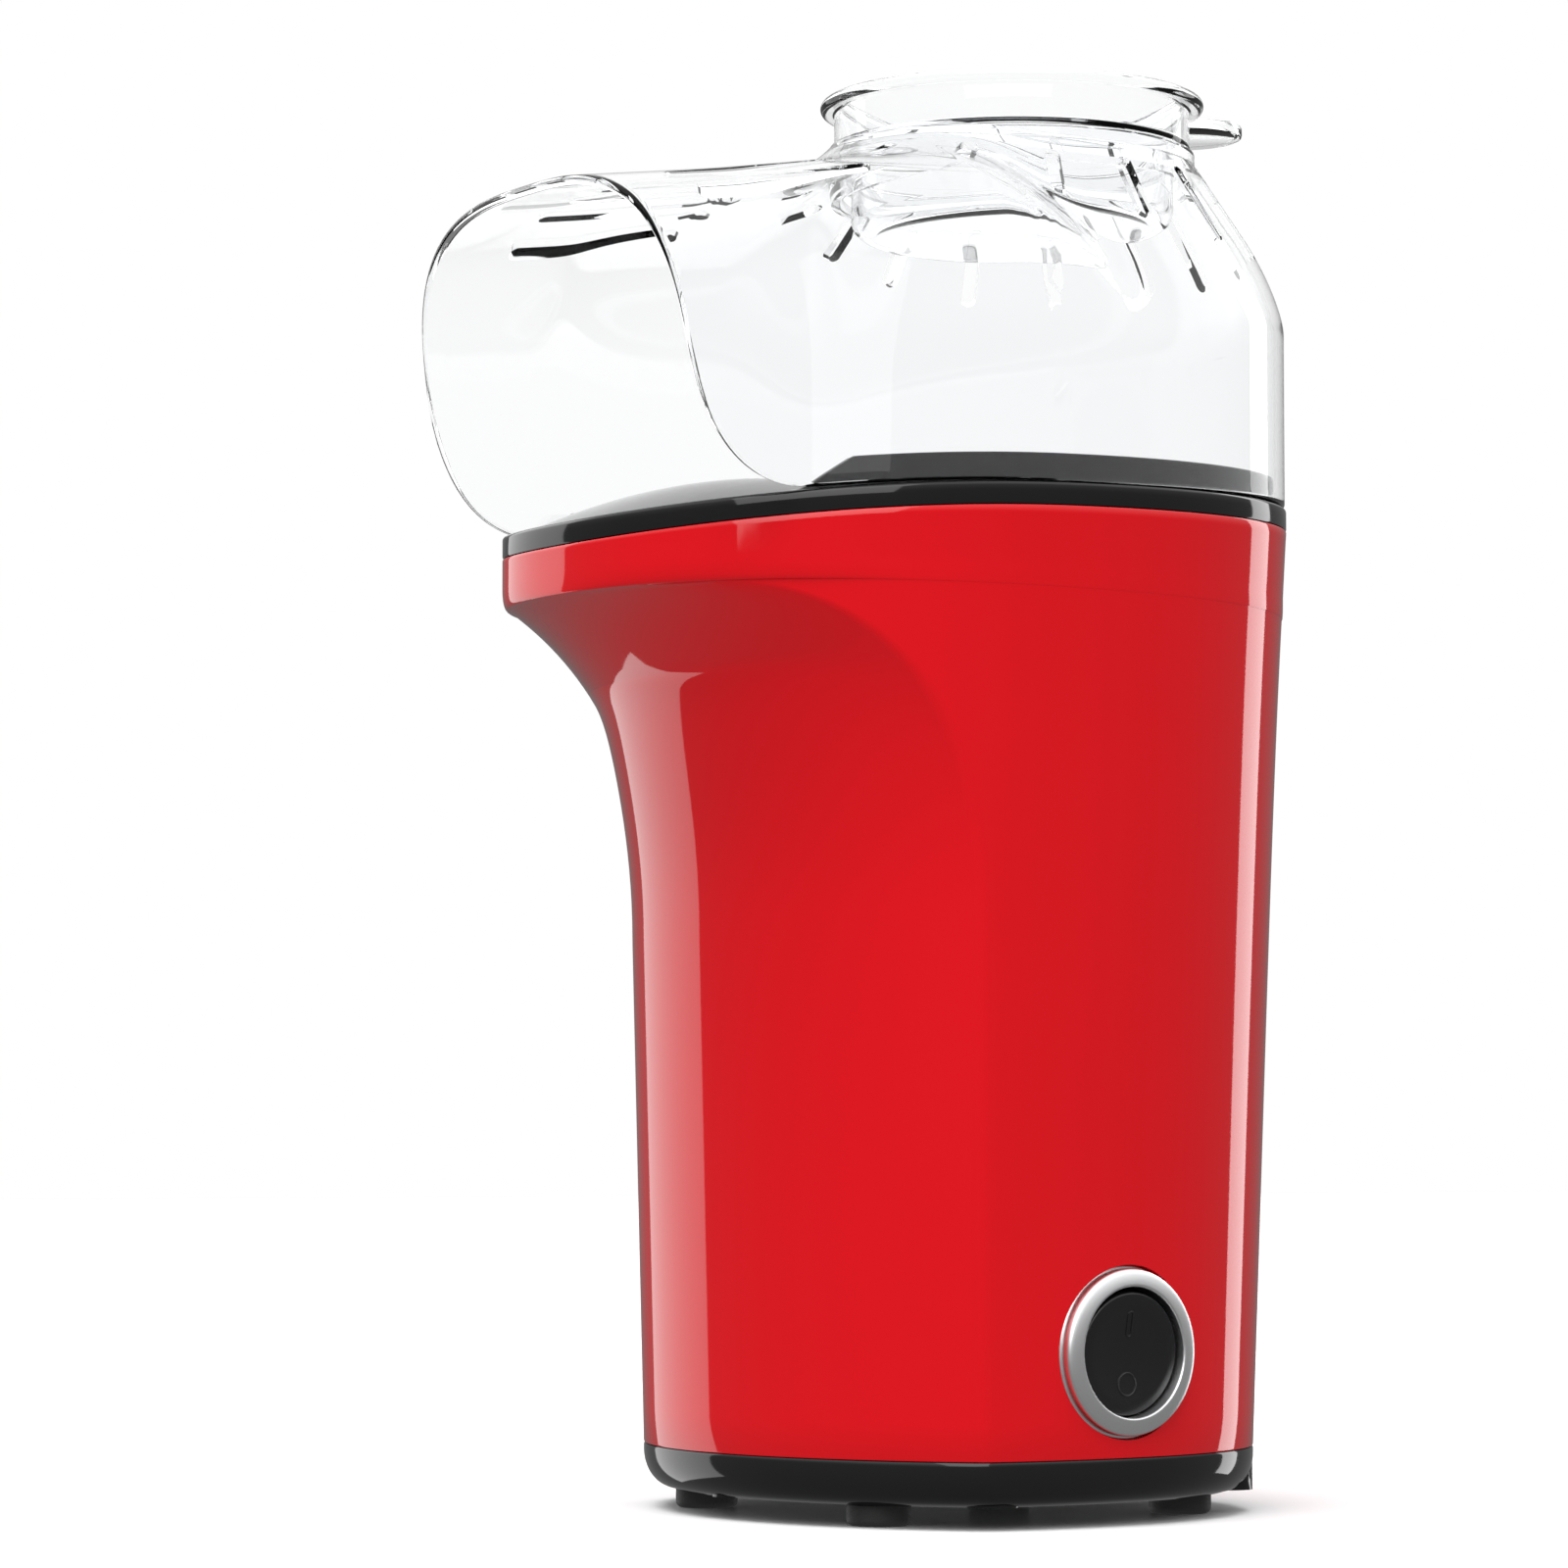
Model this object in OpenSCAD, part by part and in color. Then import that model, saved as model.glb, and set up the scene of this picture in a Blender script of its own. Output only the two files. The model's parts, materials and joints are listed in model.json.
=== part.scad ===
// Hot-air popcorn maker: a scooped housing on a black tray, with a clear hood and a measuring cup.
// The chute faces -Y, the switch is on the +X side, and the feet stand on z = 0.

/* [Housing] */
// Width of the housing at its foot
base_w = 130.5; // [128:0.5:133]
// Reach of the housing's foot behind the centre
base_rear = 77.4; // [76.4:0.2:79]
// Width of the housing at its rim
rim_w = 136.5; // [135:0.5:140]
// Reach of the lip in front of the centre
rim_front = 81.5; // [80:0.5:83]
// Reach of the rim behind the centre
rim_rear = 88.3; // [87:0.1:90]
// Height of the rim at the centre
rim_level = 203; // [200:1:208]
// How much lower the lip is than the rim at the centre
lip_droop = 4.2; // [2:0.1:5]
// Height of the red band above the scoop at the lip
lip_band = 8; // [7:0.5:9]
// Wall of the housing
housing_wall = 2.4; // [2:0.1:2.8]

/* [Scoop] */
// Distance of the side crease in front of the centre
crease_y = 20.2; // [18:0.2:23]
// Height where the side crease starts to curve forward
scoop_z = 118; // [112:1:124]
// How far the front bulges past the crease at the foot
bulge_foot = 27.4; // [26:0.2:29]
// How far the front bulges past the crease where the scoop starts
bulge_waist = 28.6; // [27:0.2:30]
// How far the front bulges past the crease below the lip
bulge_lip = 19; // [18:0.5:20]

/* [Tray and feet] */
// Height of the feet
foot_h = 4.4; // [4:0.2:5]
// Diameter of a foot
foot_d = 13; // [12:0.5:14]
// Distance between the left and right feet
foot_pitch_x = 67.6; // [64:0.2:70]
// Height of the tray
tray_h = 9.2; // [8.6:0.2:10]
// Thickness of the tray's floor
tray_floor = 2.2; // [2:0.1:2.6]

/* [Top deck] */
// Height of the black rim band
band_h = 4.7; // [4.4:0.1:5.2]
// Height of the hood seat above the band
collar_h = 6; // [5:0.1:6.5]
// Thickness of the hood seat
collar_t = 2.2; // [2:0.1:2.6]

/* [Hood] */
// Wall of the hood
hood_t = 2; // [1.8:0.1:2.2]
// Height of the hood's neck seam above the rim's level
hood_rise = 80.5; // [79:0.5:82]
// Width of the chute's mouth
mouth_w = 110; // [107:0.5:112]
// Reach of the mouth's top edge in front of the centre
mouth_reach = 88.3; // [87:0.1:90]
// Width of the neck's rim round the measuring cup
neck_rim = 4.15; // [3.8:0.05:4.5]
// Height of the neck's collar
neck_h = 3; // [2.6:0.2:3.4]
// Distance of the neck's axis behind the centre
neck_y = 30.7; // [29:0.1:32]

/* [Measuring cup] */
// Diameter of the cup's rolled flange
cup_flange_d = 81.8; // [80:0.2:83]
// Diameter of the cup's spigot
cup_spigot_d = 68.8; // [68:0.2:69.4]
// Height of the cup above the neck
cup_h = 11.3; // [10:0.1:12]
// Depth of the spigot below the neck's top
spigot_depth = 17; // [15:0.5:19]
// Wall of the cup
cup_t = 1.6; // [1.4:0.1:1.8]

/* [Switch] */
// Outer diameter of the switch bezel
bezel_d = 34.4; // [33:0.2:35]
// Diameter of the rocker
rocker_d = 24.8; // [24:0.1:25]
// Height of the switch's axis
switch_z = 34.6; // [34:0.2:37]
// Distance of the switch's axis behind the centre
switch_y = 14.6; // [12:0.2:16]
// Angle that the rocker turns between off and on
rocker_throw = 10; // [8:1:12]

/* [Heater and blower] */
// Diameter of the popping chamber
chamber_d = 76; // [74:0.5:77]
// Depth of the popping chamber
chamber_depth = 92; // [88:1:94]
// Gap between the popping chamber and the outside of the heater can
can_gap = 5; // [4.5:0.1:5.5]
// Diameter of the motor
motor_d = 27.7; // [26:0.1:28]
// Diameter of the motor's shaft
shaft_d = 3; // [2.6:0.1:3.2]
// Diameter of the fan
fan_d = 68; // [66:1:70]

/* [Hidden] */

$fn = 64;
fit_gap = 0.3;      // between pieces that move or lift apart
seat_gap = 0.05;    // round pieces that stay together
over = 1;           // how far a cutter runs past a face

// Colours
red = [0.82, 0.03, 0.06];
black = [0.05, 0.05, 0.055];
rubber = [0.03, 0.03, 0.03];
clear = [0.9, 0.93, 0.95, 0.35];
steel = [0.72, 0.73, 0.75];
mica = [0.80, 0.72, 0.52];
bakelite = [0.35, 0.28, 0.2];
green = [0.1, 0.35, 0.2];

// Plan of the body: an oval with its widest line near the centre
base_mid = 1.6;
rim_mid = -2.5;
plan_power_front = 2.3;
plan_power_rear = 2.1;
side_reach = 64;            // reach that the side panels aim at, at the foot
rim_flare = 0.13;           // share of the taper that is in the flare below the rim
flare_power = 6;
crease_power = 2.35;
crease_lean = 1.5;          // how much further back the crease starts at the foot
rim_slope = 0.03;

foot_z = foot_h;
pan_top = foot_h + tray_h;
front_steps = 20;
side_steps = 40;

function blend(a, b, t) = a + (b - a) * t;
function sign_pow(v, e) = sign(v) * pow(abs(v), e);
function smooth_max(a, b, k) = (a + b + sqrt((a - b) * (a - b) + k * k)) / 2;
function mean(points) = [for (i = [0:2]) sum([for (p = points) p[i]]) / len(points)];
function sum(list, i = 0) = i < len(list) ? list[i] + sum(list, i + 1) : 0;

// Share of the way from the foot's section to the rim's
function rise(z) =
    let (up = (z - pan_top) / (rim_level - pan_top))
    blend(up, sign(up) * pow(abs(up), flare_power), rim_flare);
function mid(z) = blend(base_mid, rim_mid, rise(z));
function half_w(z) = blend(base_w, rim_w, rise(z)) / 2;
function reach_front(z) = blend(side_reach, rim_front, rise(z)) + mid(z);
function reach_rear(z) = blend(base_rear, rim_rear, rise(z)) - mid(z);

// Height of the rim, which droops toward the lip
function rim_z(y) = rim_level + rim_slope * y - lip_droop * pow(max(0, -y) / rim_front, 2);

// Point of the oval at height z; angle 0 is the front and 90 is +X
function oval(angle, z, inset) =
    let (
        ahead = cos(angle) > 0,
        power = 2 / (ahead ? plan_power_front : plan_power_rear),
        reach = (ahead ? reach_front(z) : reach_rear(z)) - inset
    )
    [(half_w(z) - inset) * sign_pow(sin(angle), power), mid(z) - reach * sign_pow(cos(angle), power)];

// Oval angle where the front of the oval reaches y
function oval_angle(y, z, inset) =
    acos(pow(max(0, min(1, (mid(z) - y) / (reach_front(z) - inset))), plan_power_front / 2));

// Half width of the oval at y
function oval_x(y, z, inset) =
    let (
        ahead = y < mid(z),
        power = ahead ? plan_power_front : plan_power_rear,
        reach = (ahead ? reach_front(z) : reach_rear(z)) - inset,
        share = min(1, abs(y - mid(z)) / reach)
    )
    (half_w(z) - inset) * pow(1 - pow(share, power), 1 / power);

function oval_plan(z, inset, steps = 72) = [for (i = [0:steps - 1]) oval(i * 360 / steps, z, inset)];

// Side crease: straight from the foot, then a quarter superellipse forward to the lip
lip_under = rim_z(-rim_front) - lip_band;
lip_round = 1.6;
crease_end = 76;
crease_turns = [0, 14, 27, 38, 48, 58, 67, crease_end];
function crease(turn) = [
    -rim_front + (rim_front - crease_y) * pow(cos(turn), 2 / crease_power),
    scoop_z + (lip_under - scoop_z) * pow(sin(turn), 2 / crease_power)
];
function crease_foot(z) = -crease_y + crease_lean * (scoop_z - z) / (scoop_z - pan_top);
function bulge(z) = z < scoop_z
    ? blend(bulge_foot, bulge_waist, (z - pan_top) / (scoop_z - pan_top))
    : blend(bulge_waist, bulge_lip, pow(min(1, (z - scoop_z) / (lip_under - scoop_z) / 0.75), 4));

// Arc through both crease points and the front point, without its ends
function front_arc(x, y, depth) =
    let (radius = (x * x + depth * depth) / (2 * depth), half_angle = atan2(x, radius - depth))
    [for (i = [1:front_steps - 1])
        let (a = blend(-half_angle, half_angle, i / front_steps))
        [radius * sin(a), y - depth + radius - radius * cos(a)]];

function side_points(z, from, inset) = [for (i = [0:side_steps])
    oval(blend(from, 360 - from, i / side_steps), z, inset)];

// One section of the housing, with the crease at y
function scooped(z, y, inset) =
    let (from = oval_angle(y + inset, z, inset), corner = oval(from, z, inset))
    concat(side_points(z, from, inset), front_arc(corner[0], corner[1], bulge(z)));

// One whole oval with its points matched to those of the scooped sections
function unscooped(z, y, inset) =
    let (from = oval_angle(y + inset, z, inset))
    concat(
        side_points(z, from, inset),
        [for (i = [1:front_steps - 1]) oval(blend(-from, from, i / front_steps), z, inset)]
    );

function at_height(points, z) = [for (p = points) [p[0], p[1], z]];
function on_rim(points, lift) = [for (p = points) [p[0], p[1], rim_z(p[1]) + lift]];

function housing_rings(inset, below, above) =
    let (tip = crease(crease_end)[0])
    concat(
        [at_height(scooped(pan_top, crease_foot(pan_top), inset), pan_top - below)],
        [for (z = [blend(pan_top, scoop_z, 0.5)]) at_height(scooped(z, crease_foot(z), inset), z)],
        [for (turn = crease_turns)
            let (c = crease(turn), z = c[1] + inset * sin(turn))
            at_height(scooped(z, c[0], inset), z)],
        [at_height(unscooped(lip_under, tip, inset), lip_under + lip_round + inset)],
        [on_rim(unscooped(rim_level, tip, inset), above)]
    );

// Closed solid through rings of matched points, listed from the bottom up
module loft(rings) {
    count = len(rings[0]);
    last = len(rings) - 1;
    flat_points = [for (ring = rings) for (p = ring) p];
    bottom = len(flat_points);
    top = bottom + 1;
    function at(ring, i) = ring * count + i % count;
    sides = [for (r = [0:last - 1]) for (i = [0:count - 1]) for (half = [0, 1])
        half == 0 ? [at(r, i), at(r + 1, i), at(r + 1, i + 1)] : [at(r, i), at(r + 1, i + 1), at(r, i + 1)]];
    floors = [for (i = [0:count - 1]) [bottom, at(0, i), at(0, i + 1)]];
    lids = [for (i = [0:count - 1]) [top, at(last, i + 1), at(last, i)]];
    polyhedron(
        points = concat(flat_points, [mean(rings[0]), mean(rings[last])]),
        faces = concat(sides, floors, lids)
    );
}

module tube(outer, inner, h) {
    difference() {
        cylinder(r = outer, h = h);
        translate([0, 0, -over]) cylinder(r = inner, h = h + 2 * over);
    }
}

// Side view outline, drawn in Y and Z, as wide as the machine
module across(outline) {
    width = rim_w + 40;
    rotate([90, 0, 90]) translate([0, 0, -width / 2]) linear_extrude(width) polygon(outline);
}

// ---------- Places of the inner parts ----------
axis_y = neck_y;
wall_t = 1;
motor_foot = 20;
motor_h = 36;
plate_z = motor_foot + motor_h;
plate_t = 2;
shroud_h = 22;
can_z = plate_z + shroud_h;
chamber_lift = 3.8;
chamber_top = rim_level + chamber_lift;
chamber_foot = chamber_top - chamber_depth;
chamber_flange_r = chamber_d / 2 + 7;
can_cover = 42;             // how much of the chamber's height is inside the can
can_top = chamber_foot + can_cover;
post_angles = [-90, 45, 135];
can_r = chamber_d / 2 + can_gap;
shroud_t = 2;
shroud_r = can_r - wall_t;
post_r = shroud_r - 6;
coil_r = can_r - 6;
mica_h = 26;
mica_z = can_z + 2;
pan_boss_r = 4;
pan_boss_inset = 9.1;       // from the housing's outside to the centre of a boss
pan_boss_rows = [-12, base_rear - 15.4];
pan_boss_spots = concat(
    [for (y = pan_boss_rows) for (side = [-1, 1]) [side * (oval_x(y, pan_top, 0) - pan_boss_inset), y]],
    [[0, crease_foot(pan_top) - bulge_foot + pan_boss_inset]]
);
pan_boss_h = 24;
deck_boss_rows = [[-20, 11.6], [rim_rear - 40.3, 8.6]];     // y, and inset from the rim
deck_boss_spots = [for (row = deck_boss_rows) for (side = [-1, 1])
    [side * (oval_x(row[0], rim_level, 0) - row[1]), row[0]]];
deck_boss_r = 4;
deck_boss_h = 18;
lug_t = 4;
web_reach = 30;
web_step = 0.4;             // how far a boss stands out past its web
screw_r = 1.6;
screw_head_r = 3.1;
foot_edge = 1;
foot_recess = 2.2;
foot_screw_length = 8.5;
pan_recess = 4;
foot_front_y = -24.7;
foot_rear_y = 48.9;
foot_spots = [for (y = [foot_front_y, foot_rear_y]) for (x = [-1, 1]) [x * foot_pitch_x / 2, y]];

module around_axis() { translate([0, axis_y, 0]) children(); }

// ---------- Switch places ----------
switch_turn = 6;
seat_sink = 2.2;
switch_x = oval_x(switch_y, switch_z, 0) - seat_sink;
bezel_r = bezel_d / 2;
rocker_r = rocker_d / 2;
bezel_bore_r = rocker_r + 0.6;
skirt_r = bezel_bore_r + 2.7;
boss_r = bezel_r + 2.2;
boss_depth = 3.2;
body_r = skirt_r - 0.9;
rocker_pivot = -2;

// Local +Z points out of the panel and local +Y runs along it
module at_switch() {
    translate([switch_x, switch_y, switch_z]) rotate([0, 0, switch_turn]) rotate([0, 90, 0]) children();
}

// ---------- Housing ----------
module housing_outer() { loft(housing_rings(0, 0, 0)); }
module housing_inner() { loft(housing_rings(housing_wall, over, over)); }

module housing() {
    color(red)
    difference() {
        union() {
            difference() {
                housing_outer();
                housing_inner();
            }
            intersection() {
                housing_outer();
                housing_bosses();
            }
        }
        at_switch() {
            cylinder(r = bezel_r + 0.2, h = 20);
            translate([0, 0, -40]) cylinder(r = skirt_r + 0.1, h = 60);
        }
        for (spot = pan_boss_spots)
            translate([spot[0], spot[1], pan_top - over])
                cylinder(r = screw_r + seat_gap, h = pan_boss_h - 6);
        for (spot = deck_boss_spots)
            translate([spot[0], spot[1], rim_level - deck_boss_h - lug_t - over])
                cylinder(r = screw_r + 0.2, h = lug_t + 2 * over);
        translate([0, 0, grommet_z]) rotate([-90, 0, 0]) cylinder(r = grommet_r + seat_gap, h = 120);
    }
}

module housing_bosses() {
    at_switch() translate([0, 0, -boss_depth]) cylinder(r = boss_r, h = 20);
    for (spot = pan_boss_spots) {
        translate([spot[0], spot[1], pan_top]) cylinder(r = pan_boss_r, h = pan_boss_h);
        web(spot, pan_top, pan_boss_h - web_step, 2);
    }
    for (spot = deck_boss_spots) {
        translate([spot[0], spot[1], rim_level - deck_boss_h - lug_t]) cylinder(r = deck_boss_r, h = lug_t);
        web(spot, rim_level - deck_boss_h - lug_t + web_step, lug_t - 2 * web_step, 7);
    }
}

// Rib from a boss out through the nearest wall
module web(spot, z, h, thick) {
    turn = atan2(spot[1], spot[0]);
    translate([spot[0], spot[1], z]) rotate([0, 0, turn])
        translate([0, -thick / 2, 0]) cube([web_reach, thick, h]);
}

// ---------- Tray ----------
tray_edge = [[0, 5], [0.1, 2.8], [0.28, 1.4], [0.46, 0.6], [0.63, 0.2], [1, 0]];
tray_wall = 2.4;
tray_corner = 7.5;          // inset of the floor's hollow, inside the rounded lower edge
tray_step = 0.63;           // share of the tray's height where its wall thins
tongue_h = 3;
vent_count = 9;
vent_w = 3;
vent_reach = 22;

function pan_plan(inset) = scooped(pan_top, crease_foot(pan_top), inset);

module pan_outer() { loft([for (e = tray_edge) at_height(pan_plan(e[1]), foot_z + e[0] * tray_h)]); }

module base_pan() {
    color(black)
    difference() {
        union() {
            difference() {
                pan_outer();
                translate([0, 0, foot_z + tray_floor]) linear_extrude(tray_h) polygon(pan_plan(tray_corner));
                translate([0, 0, foot_z + tray_h * tray_step]) linear_extrude(tray_h)
                    polygon(pan_plan(tray_wall + 1.2));
            }
            difference() {
                translate([0, 0, pan_top - 3]) linear_extrude(3 + tongue_h)
                    difference() {
                        polygon(pan_plan(housing_wall + 0.2));
                        polygon(pan_plan(housing_wall + 1.8));
                    }
                for (spot = pan_boss_spots)
                    translate([spot[0], spot[1], pan_top])
                        rotate([0, 0, atan2(spot[1], spot[0])]) translate([-6, -6, 0]) cube([30, 12, 10]);
                at_switch() translate([0, 0, -boss_depth - over]) cylinder(r = boss_r + fit_gap, h = 20);
            }
            intersection() {
                pan_outer();
                for (spot = pan_boss_spots)
                    translate([spot[0], spot[1], foot_z]) cylinder(r = 5.5, h = tray_h);
            }
            for (spot = foot_spots)
                translate([spot[0], spot[1], foot_z]) cylinder(r = 4.5, h = 9);
            around_axis() for (a = post_angles)
                rotate([0, 0, a]) translate([post_r, 0, foot_z]) cylinder(r = 4, h = plate_z - foot_z);
        }
        for (spot = foot_spots)
            translate([spot[0], spot[1], foot_z - over]) cylinder(r = screw_r + seat_gap, h = 9);
        for (spot = pan_boss_spots) {
            translate([spot[0], spot[1], foot_z - over]) cylinder(r = screw_r + 0.2, h = tray_h + 2 * over);
            translate([spot[0], spot[1], foot_z - over])
                cylinder(r = screw_head_r + 0.4, h = over + pan_recess);
        }
        around_axis() for (a = post_angles)
            rotate([0, 0, a]) translate([post_r, 0, plate_z - 14]) cylinder(r = screw_r + seat_gap, h = 15);
        around_axis() for (i = [0:vent_count - 1]) {
            x = (i - (vent_count - 1) / 2) * (vent_w + 2);
            reach = sqrt(vent_reach * vent_reach - x * x);
            translate([x - vent_w / 2, -reach, foot_z - over])
                cube([vent_w, 2 * reach, tray_floor + 2 * over]);
        }
    }
}

module foot(spot) {
    foot_r = foot_d / 2;
    color(rubber)
    translate([spot[0], spot[1], 0])
    difference() {
        rotate_extrude() polygon([
            [0, 0], [foot_r - foot_edge, 0], [foot_r, foot_edge], [foot_r, foot_h], [0, foot_h]
        ]);
        translate([0, 0, -over]) cylinder(r = screw_r + seat_gap, h = foot_h + 2 * over);
        translate([0, 0, -over]) cylinder(r = screw_head_r + 0.2, h = over + foot_recess);
    }
}
module foot_front_left() { foot(foot_spots[0]); }
module foot_front_right() { foot(foot_spots[1]); }
module foot_rear_left() { foot(foot_spots[2]); }
module foot_rear_right() { foot(foot_spots[3]); }

// Screw with its head down, and its head's bearing face at z = 0
hex_r = 1.4;
hex_depth = 0.8;
module screw(length, head_h = 1.4) {
    cylinder(r = screw_r, h = length);
    difference() {
        translate([0, 0, -head_h]) cylinder(r = screw_head_r, h = head_h);
        translate([0, 0, -head_h - over]) cylinder(r = hex_r, h = over + hex_depth, $fn = 6);
    }
}

module foot_screws() {
    color(steel) for (spot = foot_spots) translate([spot[0], spot[1], foot_recess]) screw(foot_screw_length);
}
module pan_screws() {
    color(steel) for (spot = pan_boss_spots) translate([spot[0], spot[1], foot_z + pan_recess]) screw(16);
}
module deck_screws() {
    color(steel) for (spot = deck_boss_spots)
        translate([spot[0], spot[1], rim_level - deck_boss_h - lug_t]) screw(14);
}

// ---------- Top deck ----------
// The deck rises from its band to a crest in front of the seat, and holds the chamber in a basin.
deck_t = 2.3;
band_edge = 0.7;            // bevel on the band's upper edge
rim_gap = 0.1;              // parting line between the housing and the band
ledge = 2.6;                // flat ledge that the hood stands on
crest_z = rim_level + 7.5;
crest_inset = 30;
crest_power = 1.4;
hood_inset = 0.3;
collar_inset = hood_inset + hood_t + 0.4;
collar_front = -45;
collar_ramp = 11;
collar_foot = 1;            // collar's lower edge inside the band, above the rim
basin_front = -44;
basin_slope = 8;
skirt_inset = housing_wall + 0.35;
skirt_t = 1.6;
skirt_h = 3;
deck_hole_r = chamber_d / 2 + 0.4;
deck_steps = 56;
deck_insets = [ledge, 6, 10, 15, 21, crest_inset];

module plan_slab(inset, low, high) {
    translate([0, 0, low]) linear_extrude(high - low) polygon(oval_plan(rim_level, inset));
}

// Ring of the deck's top surface, which is at depth inside the band's edge
function deck_ring(inset, drop) =
    let (
        share = min(1, max(0, inset - ledge) / (crest_inset - ledge)),
        up = 1 - pow(1 - share, crest_power)
    )
    [for (i = [0:deck_steps - 1])
        let (
            edge = oval(i * 360 / deck_steps, rim_level, 0),
            p = oval(i * 360 / deck_steps, rim_level, inset),
            band_top = rim_z(edge[1]) + band_h
        )
        [p[0], p[1], blend(band_top, crest_z, up) - drop]];

module deck_outer() {
    edge = oval_plan(rim_level, 0, deck_steps);
    loft(concat(
        [on_rim(edge, rim_gap), on_rim(edge, band_h - band_edge), deck_ring(band_edge, 0)],
        [for (inset = deck_insets) deck_ring(inset, 0)]
    ));
}

module deck_hollow() {
    inner = skirt_inset + skirt_t;
    intersection() {
        loft(concat(
            [on_rim(oval_plan(rim_level, inner, deck_steps), -over)],
            [for (inset = deck_insets) if (inset > inner) deck_ring(inset, deck_t)]
        ));
        across([
            [-100, rim_level - 60], [100, rim_level - 60], [100, chamber_top - deck_t],
            [basin_front, chamber_top - deck_t], [basin_front - basin_slope, crest_z + 5], [-100, crest_z + 5]
        ]);
    }
}

module deck_collar() {
    intersection() {
        difference() {
            plan_slab(collar_inset, rim_level - 10, rim_level + 40);
            plan_slab(collar_inset + collar_t, rim_level - 11, rim_level + 50);
        }
        across([
            [100, rim_z(100) + collar_foot], [100, rim_z(100) + band_h + collar_h],
            [collar_front, rim_z(collar_front) + band_h + collar_h],
            [collar_front - collar_ramp, rim_z(collar_front - collar_ramp) + band_h - over],
            [collar_front - collar_ramp, rim_z(collar_front - collar_ramp) + collar_foot]
        ]);
    }
}

module deck_basin() {
    intersection() {
        plan_slab(collar_inset + collar_t, rim_level, rim_level + 40);
        across([
            [100, chamber_top], [basin_front, chamber_top], [basin_front - basin_slope, crest_z + over],
            [basin_front - basin_slope, crest_z + 20], [100, crest_z + 20]
        ]);
    }
}

// The skirt leans in with the housing's wall
module deck_skirt(inset, past) {
    loft([
        on_rim(oval_plan(lip_under, inset, deck_steps), -skirt_h - past),
        on_rim(oval_plan(rim_level, inset, deck_steps), 1 + past)
    ]);
}

module top_deck() {
    color(black)
    difference() {
        union() {
            difference() {
                deck_outer();
                deck_hollow();
            }
            deck_collar();
            difference() {
                deck_skirt(skirt_inset, 0);
                deck_skirt(skirt_inset + skirt_t, over);
            }
            for (spot = deck_boss_spots)
                translate([spot[0], spot[1], rim_level - deck_boss_h]) cylinder(r = 3.6, h = deck_boss_h + 2);
        }
        deck_basin();
        around_axis() translate([0, 0, rim_level - 40]) cylinder(r = deck_hole_r, h = 80);
        for (spot = deck_boss_spots)
            translate([spot[0], spot[1], rim_level - deck_boss_h - over])
                cylinder(r = screw_r + seat_gap, h = 13);
    }
}

// ---------- Hood ----------
neck_lip_r = cup_spigot_d / 2 + 0.35;
neck_r = neck_lip_r + neck_rim;
neck_wall = 2;
neck_seam = rim_level + hood_rise;
neck_top = neck_seam + neck_h;
cone_slope = 1.545;
seam_inset = 0.4;                   // how far the dome's top ring is inside the neck
shoulder_r = 8;
spring_z = rim_level + 22;          // where the chute's arch leaves its straight sides
arch_power = 2.9;
mouth_drop = 10.5;                  // how far the chute's roof falls on its way to the mouth
roof_step = 3.9;                    // how much lower the roof is than the neck seam
roof_fade_y = -8;
roof_fade_length = 5.2;
chute_join = -60;
chute_extra = 94;
hood_side_steps = 32;
chute_steps = 4;
cap_steps = 10;
hood_rows = [0, 0.03, 0.09, 0.18, 0.3, 0.44, 0.6, 0.8, 1];

function mouth_half(inset) = mouth_w / 2 - inset;
function hood_x(y, inset) = y > rim_mid
    ? oval_x(y, rim_level, hood_inset + inset)
    : smooth_max(oval_x(y, rim_level, hood_inset + inset), mouth_half(inset), 3);

// Height of the chute's roof line at y
function roof_line(y) =
    neck_seam - roof_step - mouth_drop * (roof_fade_y - y) / (roof_fade_y + mouth_reach)
    - pow(max(0, y - roof_fade_y) / roof_fade_length, 2);
function roof_z(x, y, inset) =
    let (share = min(1, abs(x) / hood_x(y, inset)), top = roof_line(y) - inset - spring_z)
    spring_z + top * pow(1 - pow(share, arch_power), 1 / arch_power);

// Height of the dome at distance out from the neck's axis, where the wall is at distance wall
function dome_z(out, wall, inset) =
    let (
        cone = neck_seam - cone_slope * (out - neck_r) - inset * sqrt(1 + cone_slope * cone_slope),
        round_in = min(shoulder_r, max(0, shoulder_r - (wall - out)))
    )
    cone - shoulder_r + sqrt(shoulder_r * shoulder_r - round_in * round_in);

function hood_edge(inset) =
    let (
        from = oval_angle(chute_join, rim_level, hood_inset + inset),
        half = mouth_half(inset)
    )
    concat(
        [for (i = [0:hood_side_steps])
            let (p = oval(blend(from, 360 - from, i / hood_side_steps), rim_level, hood_inset + inset))
            [sign(p[0]) * (p[1] > rim_mid ? abs(p[0]) : hood_x(p[1], inset)), p[1]]],
        [for (i = [1:chute_steps]) [-half, blend(chute_join, -chute_extra, i / chute_steps)]],
        [for (i = [1:cap_steps - 1]) [-half * cos(180 * i / cap_steps), -chute_extra]],
        [for (i = [0:chute_steps - 1]) [half, blend(-chute_extra, chute_join, i / chute_steps)]]
    );

function hood_point(edge, share, inset) =
    let (
        dx = edge[0],
        dy = edge[1] - neck_y,
        wall = sqrt(dx * dx + dy * dy),
        out = blend(wall, neck_r - seam_inset - inset, share),
        x = dx * out / wall,
        y = neck_y + dy * out / wall
    )
    [x, y, smooth_max(roof_z(x, y, inset), dome_z(out, wall, inset), 4)];

function hood_rings(inset, foot) = concat(
    [at_height(hood_edge(inset), foot)],
    [for (share = hood_rows) [for (edge = hood_edge(inset)) hood_point(edge, share, inset)]]
);

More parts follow.
